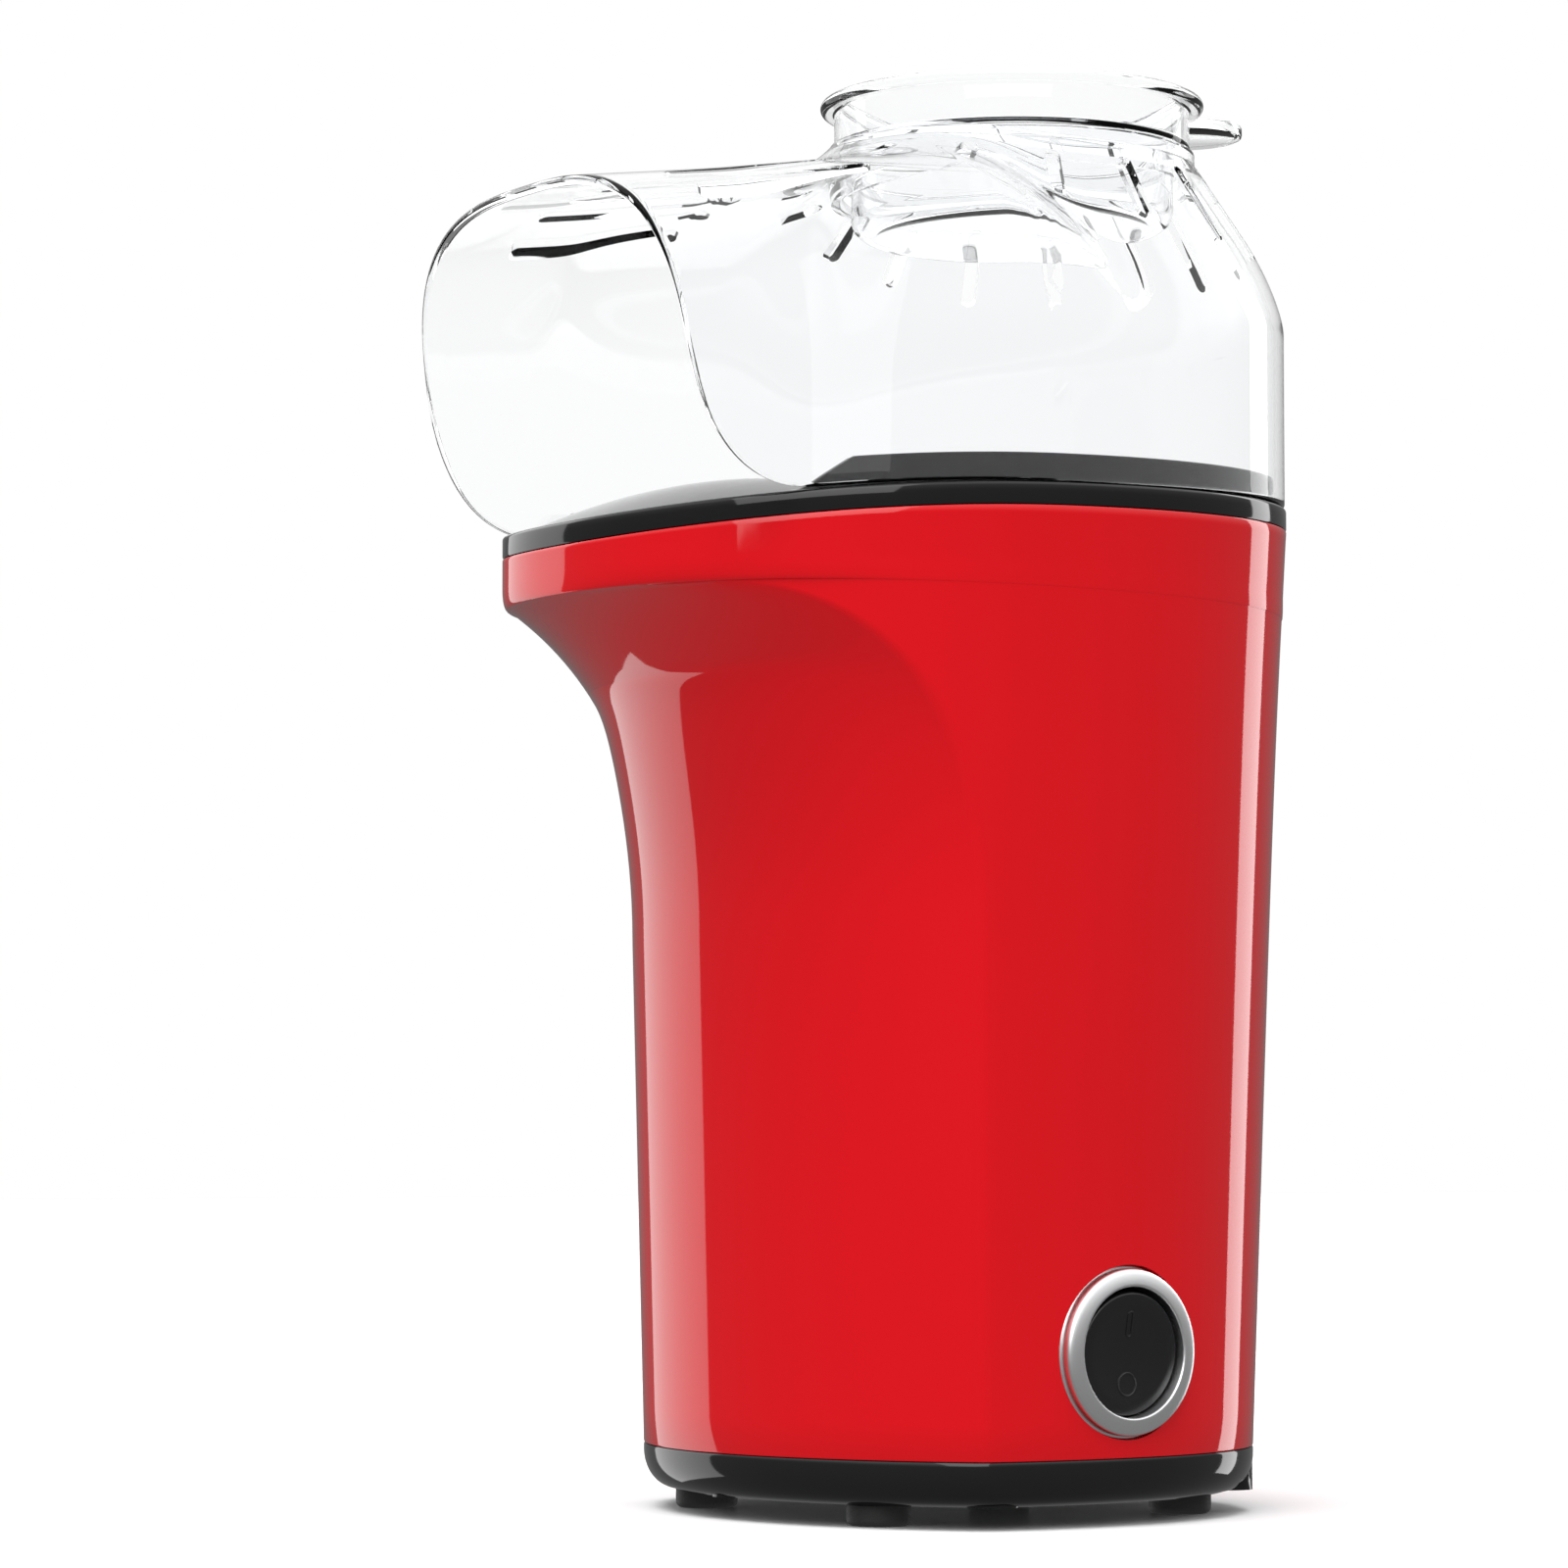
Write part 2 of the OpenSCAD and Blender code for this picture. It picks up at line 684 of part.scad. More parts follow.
// Side outline of all that lies below the hood's foot and in front of its mouth
mouth_top = neck_seam - roof_step - mouth_drop;
leg_turn_y = -80.3;
leg_turn_z = rim_level + 26;
leg_root_y = -54;
leg_corner_y = -74.2;
function hood_foot(y) = rim_z(y) + band_h + fit_gap;
function mouth_curve(t) =
    let (start = [leg_turn_y, leg_turn_z], pull = [leg_corner_y, hood_foot(leg_corner_y) + 1.2],
         end = [leg_root_y, hood_foot(leg_root_y)])
    start * (1 - t) * (1 - t) + pull * 2 * t * (1 - t) + end * t * t;
mouth_steps = 10;
foot_stops = [100, 0, -15, -30, -42];

module hood_trim() {
    across(concat(
        [[100, rim_level - 60]],
        [for (y = foot_stops) [y, hood_foot(y)]],
        [for (i = [mouth_steps:-1:0]) mouth_curve(i / mouth_steps)],
        [[-mouth_reach, mouth_top], [-mouth_reach, neck_seam + 20],
         [-120, neck_seam + 20], [-120, rim_level - 60]]
    ));
}

module capsule(length, width, h) {
    span = length - width;
    for (end = [-1, 1]) translate([end * span / 2, 0, 0]) cylinder(r = width / 2, h = h, $fn = 24);
    translate([-span / 2, -width / 2, 0]) cube([span, width, h]);
}

vent_pitch = 22.5;
vent_slot_w = 3.2;
vent_start = 2.2;                   // how far out of the neck the slots start
vent_reaches = [13.5, 13.5, 13.5, 13, 11, 9, 8, 8];
roof_slot_pitch = 13;
roof_slot_count = 7;
roof_slot_length = 40;
roof_slot_front = -70;
roof_slot_z = spring_z + 20;
vent_cut = 14;

module hood_vents() {
    tilt = atan(cone_slope);
    around_axis() for (i = [0:len(vent_reaches) - 1]) for (side = i == 0 ? [1] : [-1, 1]) {
        length = (vent_reaches[i] - vent_start) / cos(tilt);
        out = neck_r + (vent_start + vent_reaches[i]) / 2;
        rotate([0, 0, 90 + side * i * vent_pitch])
            translate([out, 0, neck_seam - cone_slope * (out - neck_r)])
            rotate([0, tilt, 0]) translate([0, 0, -vent_cut / 2]) capsule(length, vent_slot_w, vent_cut);
    }
    for (i = [0:roof_slot_count - 1]) {
        x = (i - (roof_slot_count - 1) / 2) * roof_slot_pitch;
        translate([x, roof_slot_front + roof_slot_length / 2, roof_slot_z])
            rotate([0, 0, 90]) capsule(roof_slot_length, vent_slot_w, 60);
    }
}

module hood() {
    color(clear)
    difference() {
        union() {
            difference() {
                loft(hood_rings(0, rim_level - 30));
                loft(hood_rings(hood_t, rim_level - 30 - over));
            }
            around_axis() translate([0, 0, neck_seam - 5]) cylinder(r = neck_r, h = neck_h + 5);
        }
        around_axis() {
            translate([0, 0, neck_seam - 30]) cylinder(r = neck_r - neck_wall, h = 30);
            translate([0, 0, neck_seam - 2]) cylinder(r = neck_lip_r, h = 20);
        }
        hood_trim();
        hood_vents();
    }
}

// ---------- Measuring cup ----------
cup_r = neck_r - 1;
cup_flange_r = cup_flange_d / 2;
spigot_r = cup_spigot_d / 2;
cup_seat = neck_top + fit_gap;
cup_top = cup_seat + cup_h;
cup_foot = neck_top - spigot_depth;
flange_h = 2.6;
roll_at = cup_flange_r - flange_h / 2;
spigot_round = 5;
spigot_steps = 8;
tab_r = 13.5;
tab_t = 1.8;
tab_rim = 1.6;
tab_reach = 16.6;
tab_drop = 1;

module cup_tab() {
    centre = cup_flange_r + tab_reach - tab_r;
    translate([0, centre, cup_top - flange_h - tab_drop]) difference() {
        cylinder(r = tab_r, h = flange_h);
        translate([0, 0, tab_t]) cylinder(r = tab_r - tab_rim, h = flange_h);
    }
}

module measuring_cup() {
    color(clear)
    around_axis() {
        difference() {
            cup_tab();
            translate([0, 0, cup_seat]) cylinder(r = cup_r - cup_t / 2, h = cup_h + over);
        }
        rotate_extrude() difference() {
            union() {
                cup_outline(0);
                translate([roll_at, cup_top - flange_h / 2]) circle(r = flange_h / 2, $fn = 32);
                translate([cup_r - cup_t, cup_top - flange_h]) square([roll_at - cup_r + cup_t, flange_h]);
            }
            cup_outline(cup_t);
        }
    }
}

// Half section of the cup's outside, or of its inside when it is inset by its wall
module cup_outline(inset) {
    low = cup_foot + inset;
    top = cup_top + (inset > 0 ? over : 0);
    round_r = spigot_round - inset;
    step_z = cup_seat + inset;
    polygon(concat(
        [[0, low]],
        [for (i = [0:spigot_steps]) let (a = -90 + i * 90 / spigot_steps)
            [spigot_r - inset - round_r + round_r * cos(a), low + round_r + round_r * sin(a)]],
        [[spigot_r - inset, step_z], [cup_r - inset, step_z], [cup_r - inset, top], [0, top]]
    ));
}

// ---------- Switch ----------
bezel_h = 4;
skirt_depth = 7;
switch_body_h = 22;
cavity_depth = 9;
trunnion_r = 1.2;
nut_t = 3;
rocker_half = 3.4;
dish_r = 60.4;
dish_depth = 0.8;
mark_w = 0.8;
mark_floor = 2.2;
on_mark_at = 6;
on_mark_length = 4.8;
off_mark_at = 6;
off_mark_r = 2.4;

module switch_bezel() {
    color(steel) at_switch() rotate_extrude() {
        ring_w = bezel_r - bezel_bore_r;
        intersection() {
            translate([bezel_bore_r, 0]) square([ring_w, bezel_h]);
            union() {
                translate([bezel_bore_r + ring_w / 2, bezel_h - ring_w / 2]) circle(r = ring_w / 2, $fn = 48);
                translate([bezel_bore_r, 0]) square([ring_w, bezel_h - ring_w / 2]);
            }
        }
        translate([body_r + seat_gap, -skirt_depth]) square([skirt_r - body_r - seat_gap, skirt_depth + 0.1]);
    }
}

module switch_body() {
    color(black) at_switch() difference() {
        translate([0, 0, -switch_body_h]) cylinder(r = body_r, h = switch_body_h - 0.1);
        translate([0, 0, -cavity_depth]) cylinder(r = bezel_bore_r + 0.1, h = cavity_depth + over);
        translate([0, body_r + over, rocker_pivot]) rotate([90, 0, 0])
            cylinder(r = trunnion_r + 0.08, h = 2 * (body_r + over));
    }
}

module switch_nut() {
    color(black) at_switch() translate([0, 0, -boss_depth - nut_t - 0.05]) difference() {
        cylinder(r = skirt_r + 3.4, h = nut_t, $fn = 6);
        translate([0, 0, -over]) cylinder(r = skirt_r + seat_gap, h = nut_t + 2 * over);
    }
}

module switch_terminals() {
    color(steel) at_switch() for (i = [-1, 0, 1])
        translate([i * 6 - 0.4, -3.15, -switch_body_h - 8]) cube([0.8, 6.3, 8]);
}

// Off leaves the lower edge pressed in, and on presses the upper edge
module rocker() {
    color(black) at_switch() translate([0, 0, rocker_pivot]) rotate([0, rocker_throw / 2, 0]) {
        difference() {
            translate([0, 0, -rocker_half]) cylinder(r = rocker_r, h = 2 * rocker_half);
            translate([0, 0, rocker_half - dish_depth + dish_r]) sphere(r = dish_r, $fn = 96);
            translate([-on_mark_at - on_mark_length / 2, -mark_w / 2, mark_floor])
                cube([on_mark_length, mark_w, rocker_half]);
            translate([off_mark_at, 0, mark_floor]) difference() {
                cylinder(r = off_mark_r, h = rocker_half);
                cylinder(r = off_mark_r - mark_w, h = rocker_half);
            }
        }
        for (side = [-1, 1]) rotate([-90 * side, 0, 0]) cylinder(r = trunnion_r, h = bezel_bore_r + 0.8);
    }
}

// ---------- Popping chamber and heater ----------
louvre_count = 16;
louvre_w = 3;
louvre_h = 16;
dome_h = 9;

module popping_chamber() {
    color(steel) around_axis() difference() {
        rotate_extrude() polygon([
            [0, chamber_foot + dome_h], [chamber_d / 4, chamber_foot], [chamber_d / 2 - 4, chamber_foot],
            [chamber_d / 2, chamber_foot + 4], [chamber_d / 2, chamber_top], [chamber_flange_r, chamber_top],
            [chamber_flange_r, chamber_top + wall_t], [chamber_d / 2 - wall_t, chamber_top + wall_t],
            [chamber_d / 2 - wall_t, chamber_foot + 4.5], [chamber_d / 2 - 4.5, chamber_foot + wall_t],
            [chamber_d / 4 + 0.4, chamber_foot + wall_t], [0, chamber_foot + dome_h + wall_t]
        ]);
        for (i = [0:louvre_count - 1]) rotate([0, 0, i * 360 / louvre_count])
            translate([chamber_d / 2, 0, chamber_foot + 8]) rotate([0, 0, 35])
            translate([-6, -louvre_w / 2, 0]) cube([12, louvre_w, louvre_h]);
    }
}

module heater_can() {
    color(steel) around_axis() translate([0, 0, can_z]) difference() {
        union() {
            tube(can_r, can_r - wall_t, can_top - can_z);
            translate([0, 0, can_top - can_z - wall_t]) tube(can_r - 0.5, chamber_d / 2 + 0.1, wall_t);
            tube(can_r - 0.5, shroud_r - 3, wall_t);
        }
    }
}

sleeve_r = can_r - wall_t - 0.1;
sleeve_t = 0.8;
module mica_sleeve() {
    color(mica) around_axis() translate([0, 0, can_z + wall_t])
        tube(sleeve_r, sleeve_r - sleeve_t, chamber_foot - can_z - 2 * wall_t);
}

// Notched board on edge, with a slot for the board that crosses it
cross_half = sleeve_r - sleeve_t - 0.1;
cross_t = 1.2;
coil_turns = 4;
coil_pitch = 4.6;
coil_wire_r = 0.7;
coil_z = mica_z + 5;
module mica_board(slot_up, phase) {
    difference() {
        translate([-cross_half, -cross_t / 2, mica_z - 1]) cube([2 * cross_half, cross_t, mica_h]);
        translate([-cross_t / 2 - 0.05, -over, slot_up ? mica_z - 1 + mica_h / 2 : mica_z - 2])
            cube([cross_t + 0.1, 2 * over, mica_h / 2 + 1]);
        for (turn = [0:coil_turns]) for (side = [0, 1]) {
            z = coil_z + coil_pitch * (turn + phase + side / 2);
            if (z < coil_z + coil_pitch * coil_turns + 1)
                translate([(1 - 2 * side) * coil_r, over, z]) rotate([90, 0, 0])
                    cylinder(r = coil_wire_r + 0.5, h = 2 * over, $fn = 24);
        }
    }
}
module mica_cross_a() { color(mica) around_axis() mica_board(true, 0); }
module mica_cross_b() { color(mica) around_axis() rotate([0, 0, 90]) mica_board(false, 0.25); }

// Helix of heating wire, wound through the notches of both boards
coil_sides = 6;
coil_rings_per_turn = 20;
function coil_ring(turns) = [for (s = [0:coil_sides - 1])
    let (a = 360 * turns, b = 360 * s / coil_sides, r = coil_r + coil_wire_r * cos(b))
    [r * cos(a), r * sin(a), coil_z + coil_pitch * turns + coil_wire_r * sin(b)]];
module heating_coil() {
    color(steel) around_axis()
        sweep([for (k = [0:coil_turns * coil_rings_per_turn]) coil_ring(k / coil_rings_per_turn)]);
}

// Closed tube through rings whose points run about the path
module sweep(rings) {
    count = len(rings[0]);
    last = len(rings) - 1;
    flat_points = [for (ring = rings) for (p = ring) p];
    function at(ring, i) = ring * count + i % count;
    polyhedron(
        points = flat_points,
        faces = concat(
            [for (r = [0:last - 1]) for (i = [0:count - 1]) for (half = [0, 1])
                half == 0
                    ? [at(r, i), at(r, i + 1), at(r + 1, i + 1)]
                    : [at(r, i), at(r + 1, i + 1), at(r + 1, i)]],
            [[for (i = [count - 1:-1:0]) at(0, i)], [for (i = [0:count - 1]) at(last, i)]]
        )
    );
}

sensor_z = can_z + 38;
module thermostat() {
    color(bakelite) around_axis() translate([-can_r, 0, sensor_z]) rotate([0, -90, 0]) {
        cylinder(r = 8, h = 5);
        translate([0, 0, 5]) cylinder(r = 5.5, h = 2);
        for (side = [-1, 1]) translate([-0.4, side * 4 - 2, 7]) cube([0.8, 4, 6]);
    }
}
module thermal_fuse() {
    color(steel) around_axis() translate([-can_r - 2.1, 0, sensor_z - 22]) rotate([90, 0, 0]) {
        translate([0, 0, -6]) cylinder(r = 2, h = 12);
        translate([0, 0, -14]) cylinder(r = 0.5, h = 28);
    }
}

// ---------- Blower ----------
inlet_inner = 17;
inlet_outer = 29;
spoke_w = 8;
shaft_hole_r = 4;
motor_screw_x = 8;
module fan_shroud() {
    color(black) around_axis() translate([0, 0, plate_z]) difference() {
        union() {
            tube(shroud_r, shroud_r - shroud_t, shroud_h);
            cylinder(r = shroud_r - 0.5, h = plate_t);
        }
        for (a = post_angles) rotate([0, 0, a]) translate([post_r, 0, 0]) plate_hole(screw_r + 0.2);
        difference() {
            plate_hole(inlet_outer);
            translate([0, 0, -over]) plate_hole(inlet_inner);
            for (a = [30, 150, 270]) rotate([0, 0, a]) translate([0, -spoke_w / 2, -2 * over])
                cube([shroud_r, spoke_w, plate_t + 4 * over]);
        }
        plate_hole(shaft_hole_r);
        for (side = [-1, 1]) translate([side * motor_screw_x, 0, 0]) plate_hole(screw_r + 0.1);
    }
}
module plate_hole(r) { translate([0, 0, -over]) cylinder(r = r, h = plate_t + 3 * over); }

module shroud_screws() {
    color(steel) around_axis() for (a = post_angles)
        rotate([0, 0, a]) translate([post_r, 0, plate_z + plate_t]) mirror([0, 0, 1]) screw(12);
}

blade_count = 9;
fan_z = plate_z + 4;
hub_r = 8;
fan_base_t = 1.4;
blade_h = 10;
module fan_impeller() {
    color(black) around_axis() translate([0, 0, fan_z]) difference() {
        union() {
            cylinder(r = fan_d / 2, h = fan_base_t);
            cylinder(r = hub_r, h = blade_h + 1);
            for (i = [0:blade_count - 1]) rotate([0, 0, i * 360 / blade_count])
                linear_extrude(fan_base_t + blade_h) polygon(blade());
        }
        translate([0, 0, -over]) cylinder(r = shaft_d / 2 + seat_gap, h = blade_h + 4);
    }
}
// Backward-curved blade, as a strip about an arc from the hub to the rim
blade_t = 1.2;
blade_sweep = 38;
function blade_point(share, offset) =
    let (r = blend(hub_r - 1, fan_d / 2 - 0.4, share), a = -blade_sweep * share * share)
    [r * cos(a) - offset * sin(a), r * sin(a) + offset * cos(a)];
function blade() = concat(
    [for (i = [0:7]) blade_point(i / 7, -blade_t / 2)],
    [for (i = [7:-1:0]) blade_point(i / 7, blade_t / 2)]
);

shaft_low = motor_foot - 3;
module motor_shaft() {
    color(steel) around_axis() translate([0, 0, shaft_low])
        cylinder(r = shaft_d / 2, h = fan_z + blade_h - shaft_low);
}

bell_h = 4;
bearing_r = shaft_d / 2 + 0.04;
module motor_can() {
    color(steel) around_axis() difference() {
        translate([0, 0, motor_foot]) cylinder(r = motor_d / 2, h = motor_h);
        translate([0, 0, motor_foot - over]) cylinder(r = bearing_r, h = motor_h + 2 * over);
        for (side = [-1, 1]) translate([side * motor_screw_x, 0, plate_z - 6])
            cylinder(r = screw_r + seat_gap, h = 7);
    }
}
module motor_end_bell() {
    color(black) around_axis() translate([0, 0, motor_foot - bell_h]) difference() {
        cylinder(r = motor_d / 2 - 0.6, h = bell_h);
        translate([0, 0, bell_h - 3.5]) cylinder(r = bearing_r, h = 5);
    }
}
module motor_screws() {
    color(steel) around_axis() for (side = [-1, 1])
        translate([side * motor_screw_x, 0, plate_z + plate_t]) mirror([0, 0, 1]) screw(6, 1.2);
}
board_t = 1.4;
board_z = motor_foot - bell_h - board_t;
module rectifier_board() {
    color(green) around_axis() translate([0, 0, board_z]) cylinder(r = motor_d / 2 - 1, h = board_t);
}
diode_r = 1.35;
diode_length = 5.2;
module diodes() {
    color(black) around_axis() for (i = [-1.5, -0.5, 0.5, 1.5])
        translate([i * diode_length, -diode_length / 2, board_z - diode_r]) rotate([-90, 0, 0])
            cylinder(r = diode_r, h = diode_length, $fn = 32);
}

// ---------- Cord inlet ----------
grommet_z = 26;
grommet_r = 6;
grommet_bore_r = 3.4;
grommet_y = mid(grommet_z) + reach_rear(grommet_z);
module cord_grommet() {
    color(rubber) translate([0, grommet_y - housing_wall - 3, grommet_z]) rotate([-90, 0, 0]) difference() {
        union() {
            cylinder(r = grommet_r, h = housing_wall + 5);
            translate([0, 0, housing_wall + 3.6]) cylinder(r = 8, h = 1.8);
            cylinder(r = 7.4, h = 2.2);
        }
        translate([0, 0, -over]) cylinder(r = grommet_bore_r, h = 20);
    }
}

housing();
base_pan();
foot_front_left();
foot_front_right();
foot_rear_left();
foot_rear_right();
foot_screws();
pan_screws();
top_deck();
deck_screws();
hood();
measuring_cup();
switch_bezel();
switch_body();
switch_nut();
switch_terminals();
rocker();
popping_chamber();
heater_can();
mica_sleeve();
mica_cross_a();
mica_cross_b();
heating_coil();
thermostat();
thermal_fuse();
fan_shroud();
shroud_screws();
fan_impeller();
motor_shaft();
motor_can();
motor_end_bell();
motor_screws();
rectifier_board();
diodes();
cord_grommet();
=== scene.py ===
# Hot-air popcorn maker with a red scooped housing, a black deck and tray, a clear hood with a
# chute, a clear measuring cup and a round rocker switch. Lengths in the classes are millimetres
# in the machine's own frame: +Z up, the chute toward -Y and the switch on +X.

import json
import logging
import math
from dataclasses import dataclass, field
from enum import Enum
from typing import Dict, List, Optional, Sequence, Tuple, Union

import bmesh
import bpy
import numpy as np
from mathutils import Matrix, Vector

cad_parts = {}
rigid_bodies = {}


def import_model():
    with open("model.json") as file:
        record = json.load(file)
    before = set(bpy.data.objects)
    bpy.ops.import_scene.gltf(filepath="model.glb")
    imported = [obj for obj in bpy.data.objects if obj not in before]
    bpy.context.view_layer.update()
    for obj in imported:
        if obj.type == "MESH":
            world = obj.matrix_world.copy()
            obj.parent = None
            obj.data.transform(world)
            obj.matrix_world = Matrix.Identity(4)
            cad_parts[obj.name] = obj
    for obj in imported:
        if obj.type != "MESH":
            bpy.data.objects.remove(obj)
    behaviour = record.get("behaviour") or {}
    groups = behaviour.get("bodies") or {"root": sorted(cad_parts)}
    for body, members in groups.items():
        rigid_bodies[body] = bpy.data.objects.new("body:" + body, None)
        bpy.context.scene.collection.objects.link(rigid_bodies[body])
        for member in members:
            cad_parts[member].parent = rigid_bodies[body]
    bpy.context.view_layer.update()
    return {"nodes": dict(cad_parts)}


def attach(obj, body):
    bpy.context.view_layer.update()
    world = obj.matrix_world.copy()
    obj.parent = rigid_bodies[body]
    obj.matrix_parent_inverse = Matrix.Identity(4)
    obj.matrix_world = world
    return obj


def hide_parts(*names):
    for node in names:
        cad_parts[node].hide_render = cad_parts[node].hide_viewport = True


logging.basicConfig(level=logging.INFO, format="%(message)s")
log = logging.getLogger("popcorn_maker")

MM = 0.001
Colour = Tuple[float, float, float]
Material = bpy.types.Material
Object = bpy.types.Object
Group = bpy.types.ShaderNodeTree
Socket = bpy.types.NodeSocket
Number = Union[float, np.ndarray]
Faces = List[Tuple[int, ...]]
Line = List[Tuple[float, float]]


# ---------------------------------------------------------------- small sums


def mix(a: Number, b: Number, t: Number) -> Number:
    """The value at share t of the way from a to b."""
    return a + (b - a) * t


def signed_power(value: Number, exponent: Number) -> Number:
    """The power of a value's size, with the value's sign."""
    return np.sign(value) * np.abs(value) ** exponent


def soft_max(a: Number, b: Number, width: float) -> Number:
    """The larger of a and b, rounded over width where they meet."""
    return (a + b + np.sqrt((a - b) ** 2 + width * width)) / 2


def resample(line: np.ndarray, start: float, end: float, count: int) -> np.ndarray:
    """Points at even distances along a line.

    Args:
        line: Dense points of the line.
        start: Distance of the first point from the line's start.
        end: Distance of the last point from the line's end.
        count: How many points.

    Returns:
        The new points.
    """
    steps = np.linalg.norm(np.diff(line, axis=0), axis=1)
    along = np.concatenate([[0.0], np.cumsum(steps)])
    wanted = np.linspace(start, along[-1] - end, count)
    return np.stack([np.interp(wanted, along, line[:, k]) for k in range(line.shape[1])], axis=1)


def rod(radius: float, low: float, high: float) -> Line:
    """Half section of a plain round rod between two heights."""
    return [(0, low), (radius, low), (radius, high), (0, high)]


def quarter(count: int) -> Line:
    """Sine and cosine pairs that step round a quarter circle, without its ends."""
    return [(math.sin(t), math.cos(t)) for t in np.linspace(0, math.pi / 2, count + 2)[1:-1]]


# ---------------------------------------------------------------- mesh makers


def object_from(name: str, points: np.ndarray, faces: Sequence[Sequence[int]], material: Material) -> Object:
    """A mesh object from points in millimetres, with its faces turned outward.

    Args:
        name: The object's name.
        points: One row for each point.
        faces: Point numbers of each face.
        material: The finish of every face.

    Returns:
        The object, linked to the scene.
    """
    mesh = bpy.data.meshes.new(name)
    mesh.from_pydata((np.asarray(points, float) * MM).tolist(), [], faces)
    made = bmesh.new()
    made.from_mesh(mesh)
    bmesh.ops.remove_doubles(made, verts=made.verts, dist=2e-6)
    bmesh.ops.recalc_face_normals(made, faces=made.faces)
    made.to_mesh(mesh)
    made.free()
    mesh.materials.append(material)
    thing = bpy.data.objects.new(name, mesh)
    bpy.context.scene.collection.objects.link(thing)
    return thing


def closed_grid(rings: Sequence[np.ndarray]) -> Tuple[np.ndarray, Faces]:
    """A shell whose rings follow each other round a closed loop.

    Args:
        rings: Rings of the same length, one after another round the section.

    Returns:
        The points, and the point numbers of each face.
    """
    count, turns = len(rings[0]), len(rings)
    index = np.arange(turns * count).reshape(turns, count)
    down, right = np.roll(index, -1, axis=0), np.roll(index, -1, axis=1)
    both = np.roll(down, -1, axis=1)
    faces = np.stack([index, right, both, down], axis=-1).reshape(-1, 4)
    return np.concatenate(rings), [tuple(f) for f in faces.tolist()]


def poled_grid(rings: Sequence[np.ndarray], first: np.ndarray, last: np.ndarray) -> Tuple[np.ndarray, Faces]:
    """A shell that starts and ends in a single point.

    Args:
        rings: Rings of the same length from one end to the other.
        first: The point that closes the first ring.
        last: The point that closes the last ring.

    Returns:
        The points, and the point numbers of each face.
    """
    count, turns = len(rings[0]), len(rings)
    index = np.arange(turns * count).reshape(turns, count)
    right = np.roll(index, -1, axis=1)
    faces = np.stack([index[:-1], right[:-1], right[1:], index[1:]], axis=-1).reshape(-1, 4).tolist()
    head, tail = turns * count, turns * count + 1
    faces += [[head, int(right[0, i]), int(index[0, i])] for i in range(count)]
    faces += [[tail, int(index[-1, i]), int(right[-1, i])] for i in range(count)]
    points = np.concatenate([np.concatenate(rings), first[None], last[None]])
    return points, [tuple(f) for f in faces]


def set_in(points: np.ndarray, place: Matrix) -> np.ndarray:
    """Points moved from a piece's own frame to the machine's."""
    grid = np.array(place)
    return points @ grid[:3, :3].T + grid[:3, 3]


def turned(name: str, outline: Sequence[Tuple[float, float]], material: Material, steps: int = 128,
           place: Optional[Matrix] = None) -> Object:
    """A solid of revolution.

    Args:
        name: The object's name.
        outline: Radius and height pairs; a closed loop, or a line whose two ends lie on the axis.
        material: The finish.
        steps: How many flats go round.
        place: Where the solid's own frame stands, in millimetres.

    Returns:
        The object.
    """
    turns = np.linspace(0, 2 * math.pi, steps, endpoint=False)
    rings = [np.stack([r * np.cos(turns), r * np.sin(turns), np.full(steps, z)], axis=1)
             for r, z in outline if r > 1e-6]
    on_axis = [np.array([0.0, 0.0, z]) for r, z in outline if r <= 1e-6]
    if len(on_axis) == 2:
        points, faces = poled_grid(rings, on_axis[0], on_axis[1])
    else:
        points, faces = closed_grid(rings)
    if place is not None:
        points = set_in(points, place)
    return object_from(name, points, faces, material)


def capsule_cutter(name: str, length: float, width: float, depth: float, place: Matrix,
                   material: Material, steps: int = 12) -> Object:
    """A slot-shaped cutter, long in its own X and deep in its own Z.

    Args:
        name: The object's name.
        length: Length over its round ends.
        width: Width.
        depth: Depth, half on each side of its own origin.
        place: Where it stands, in millimetres.
        material: Finish that the cut faces take.
        steps: How many flats each round end has.

    Returns:
        The cutter.
    """
    half, r = (length - width) / 2, width / 2
    ends = [(half + r * math.cos(a), r * math.sin(a)) for a in np.linspace(-math.pi / 2, math.pi / 2, steps)]
    ends += [(-half - r * math.cos(a), -r * math.sin(a)) for a in np.linspace(-math.pi / 2, math.pi / 2, steps)]
    count = len(ends)
    points = [(x, y, z) for z in (-depth / 2, depth / 2) for x, y in ends]
    faces = [tuple(range(count))[::-1], tuple(range(count, 2 * count))]
    faces += [(i, (i + 1) % count, count + (i + 1) % count, count + i) for i in range(count)]
    return object_from(name, set_in(np.array(points), place), faces, material)


def plain_mesh(thing: Object) -> Object:
    """Makes an object's modifiers real and takes them off."""
    bpy.context.view_layer.update()
    shown = thing.evaluated_get(bpy.context.evaluated_depsgraph_get())
    mesh = bpy.data.meshes.new_from_object(shown, preserve_all_data_layers=True,
                                           depsgraph=bpy.context.evaluated_depsgraph_get())
    thing.modifiers.clear()
    thing.data = mesh
    return thing


def combine(thing: Object, tools: Sequence[Object], operation: str = "DIFFERENCE") -> Object:
    """Cuts tools out of a solid or joins them to it, and deletes the tools.

    Args:
        thing: The solid.
        tools: The objects that cut or join it.
        operation: "DIFFERENCE" or "UNION".

    Returns:
        The changed solid.
    """
    for tool in tools:
        change = thing.modifiers.new(tool.name, "BOOLEAN")
        change.operation, change.object, change.solver = operation, tool, "EXACT"
    plain_mesh(thing)
    for tool in tools:
        bpy.data.objects.remove(tool)
    return thing


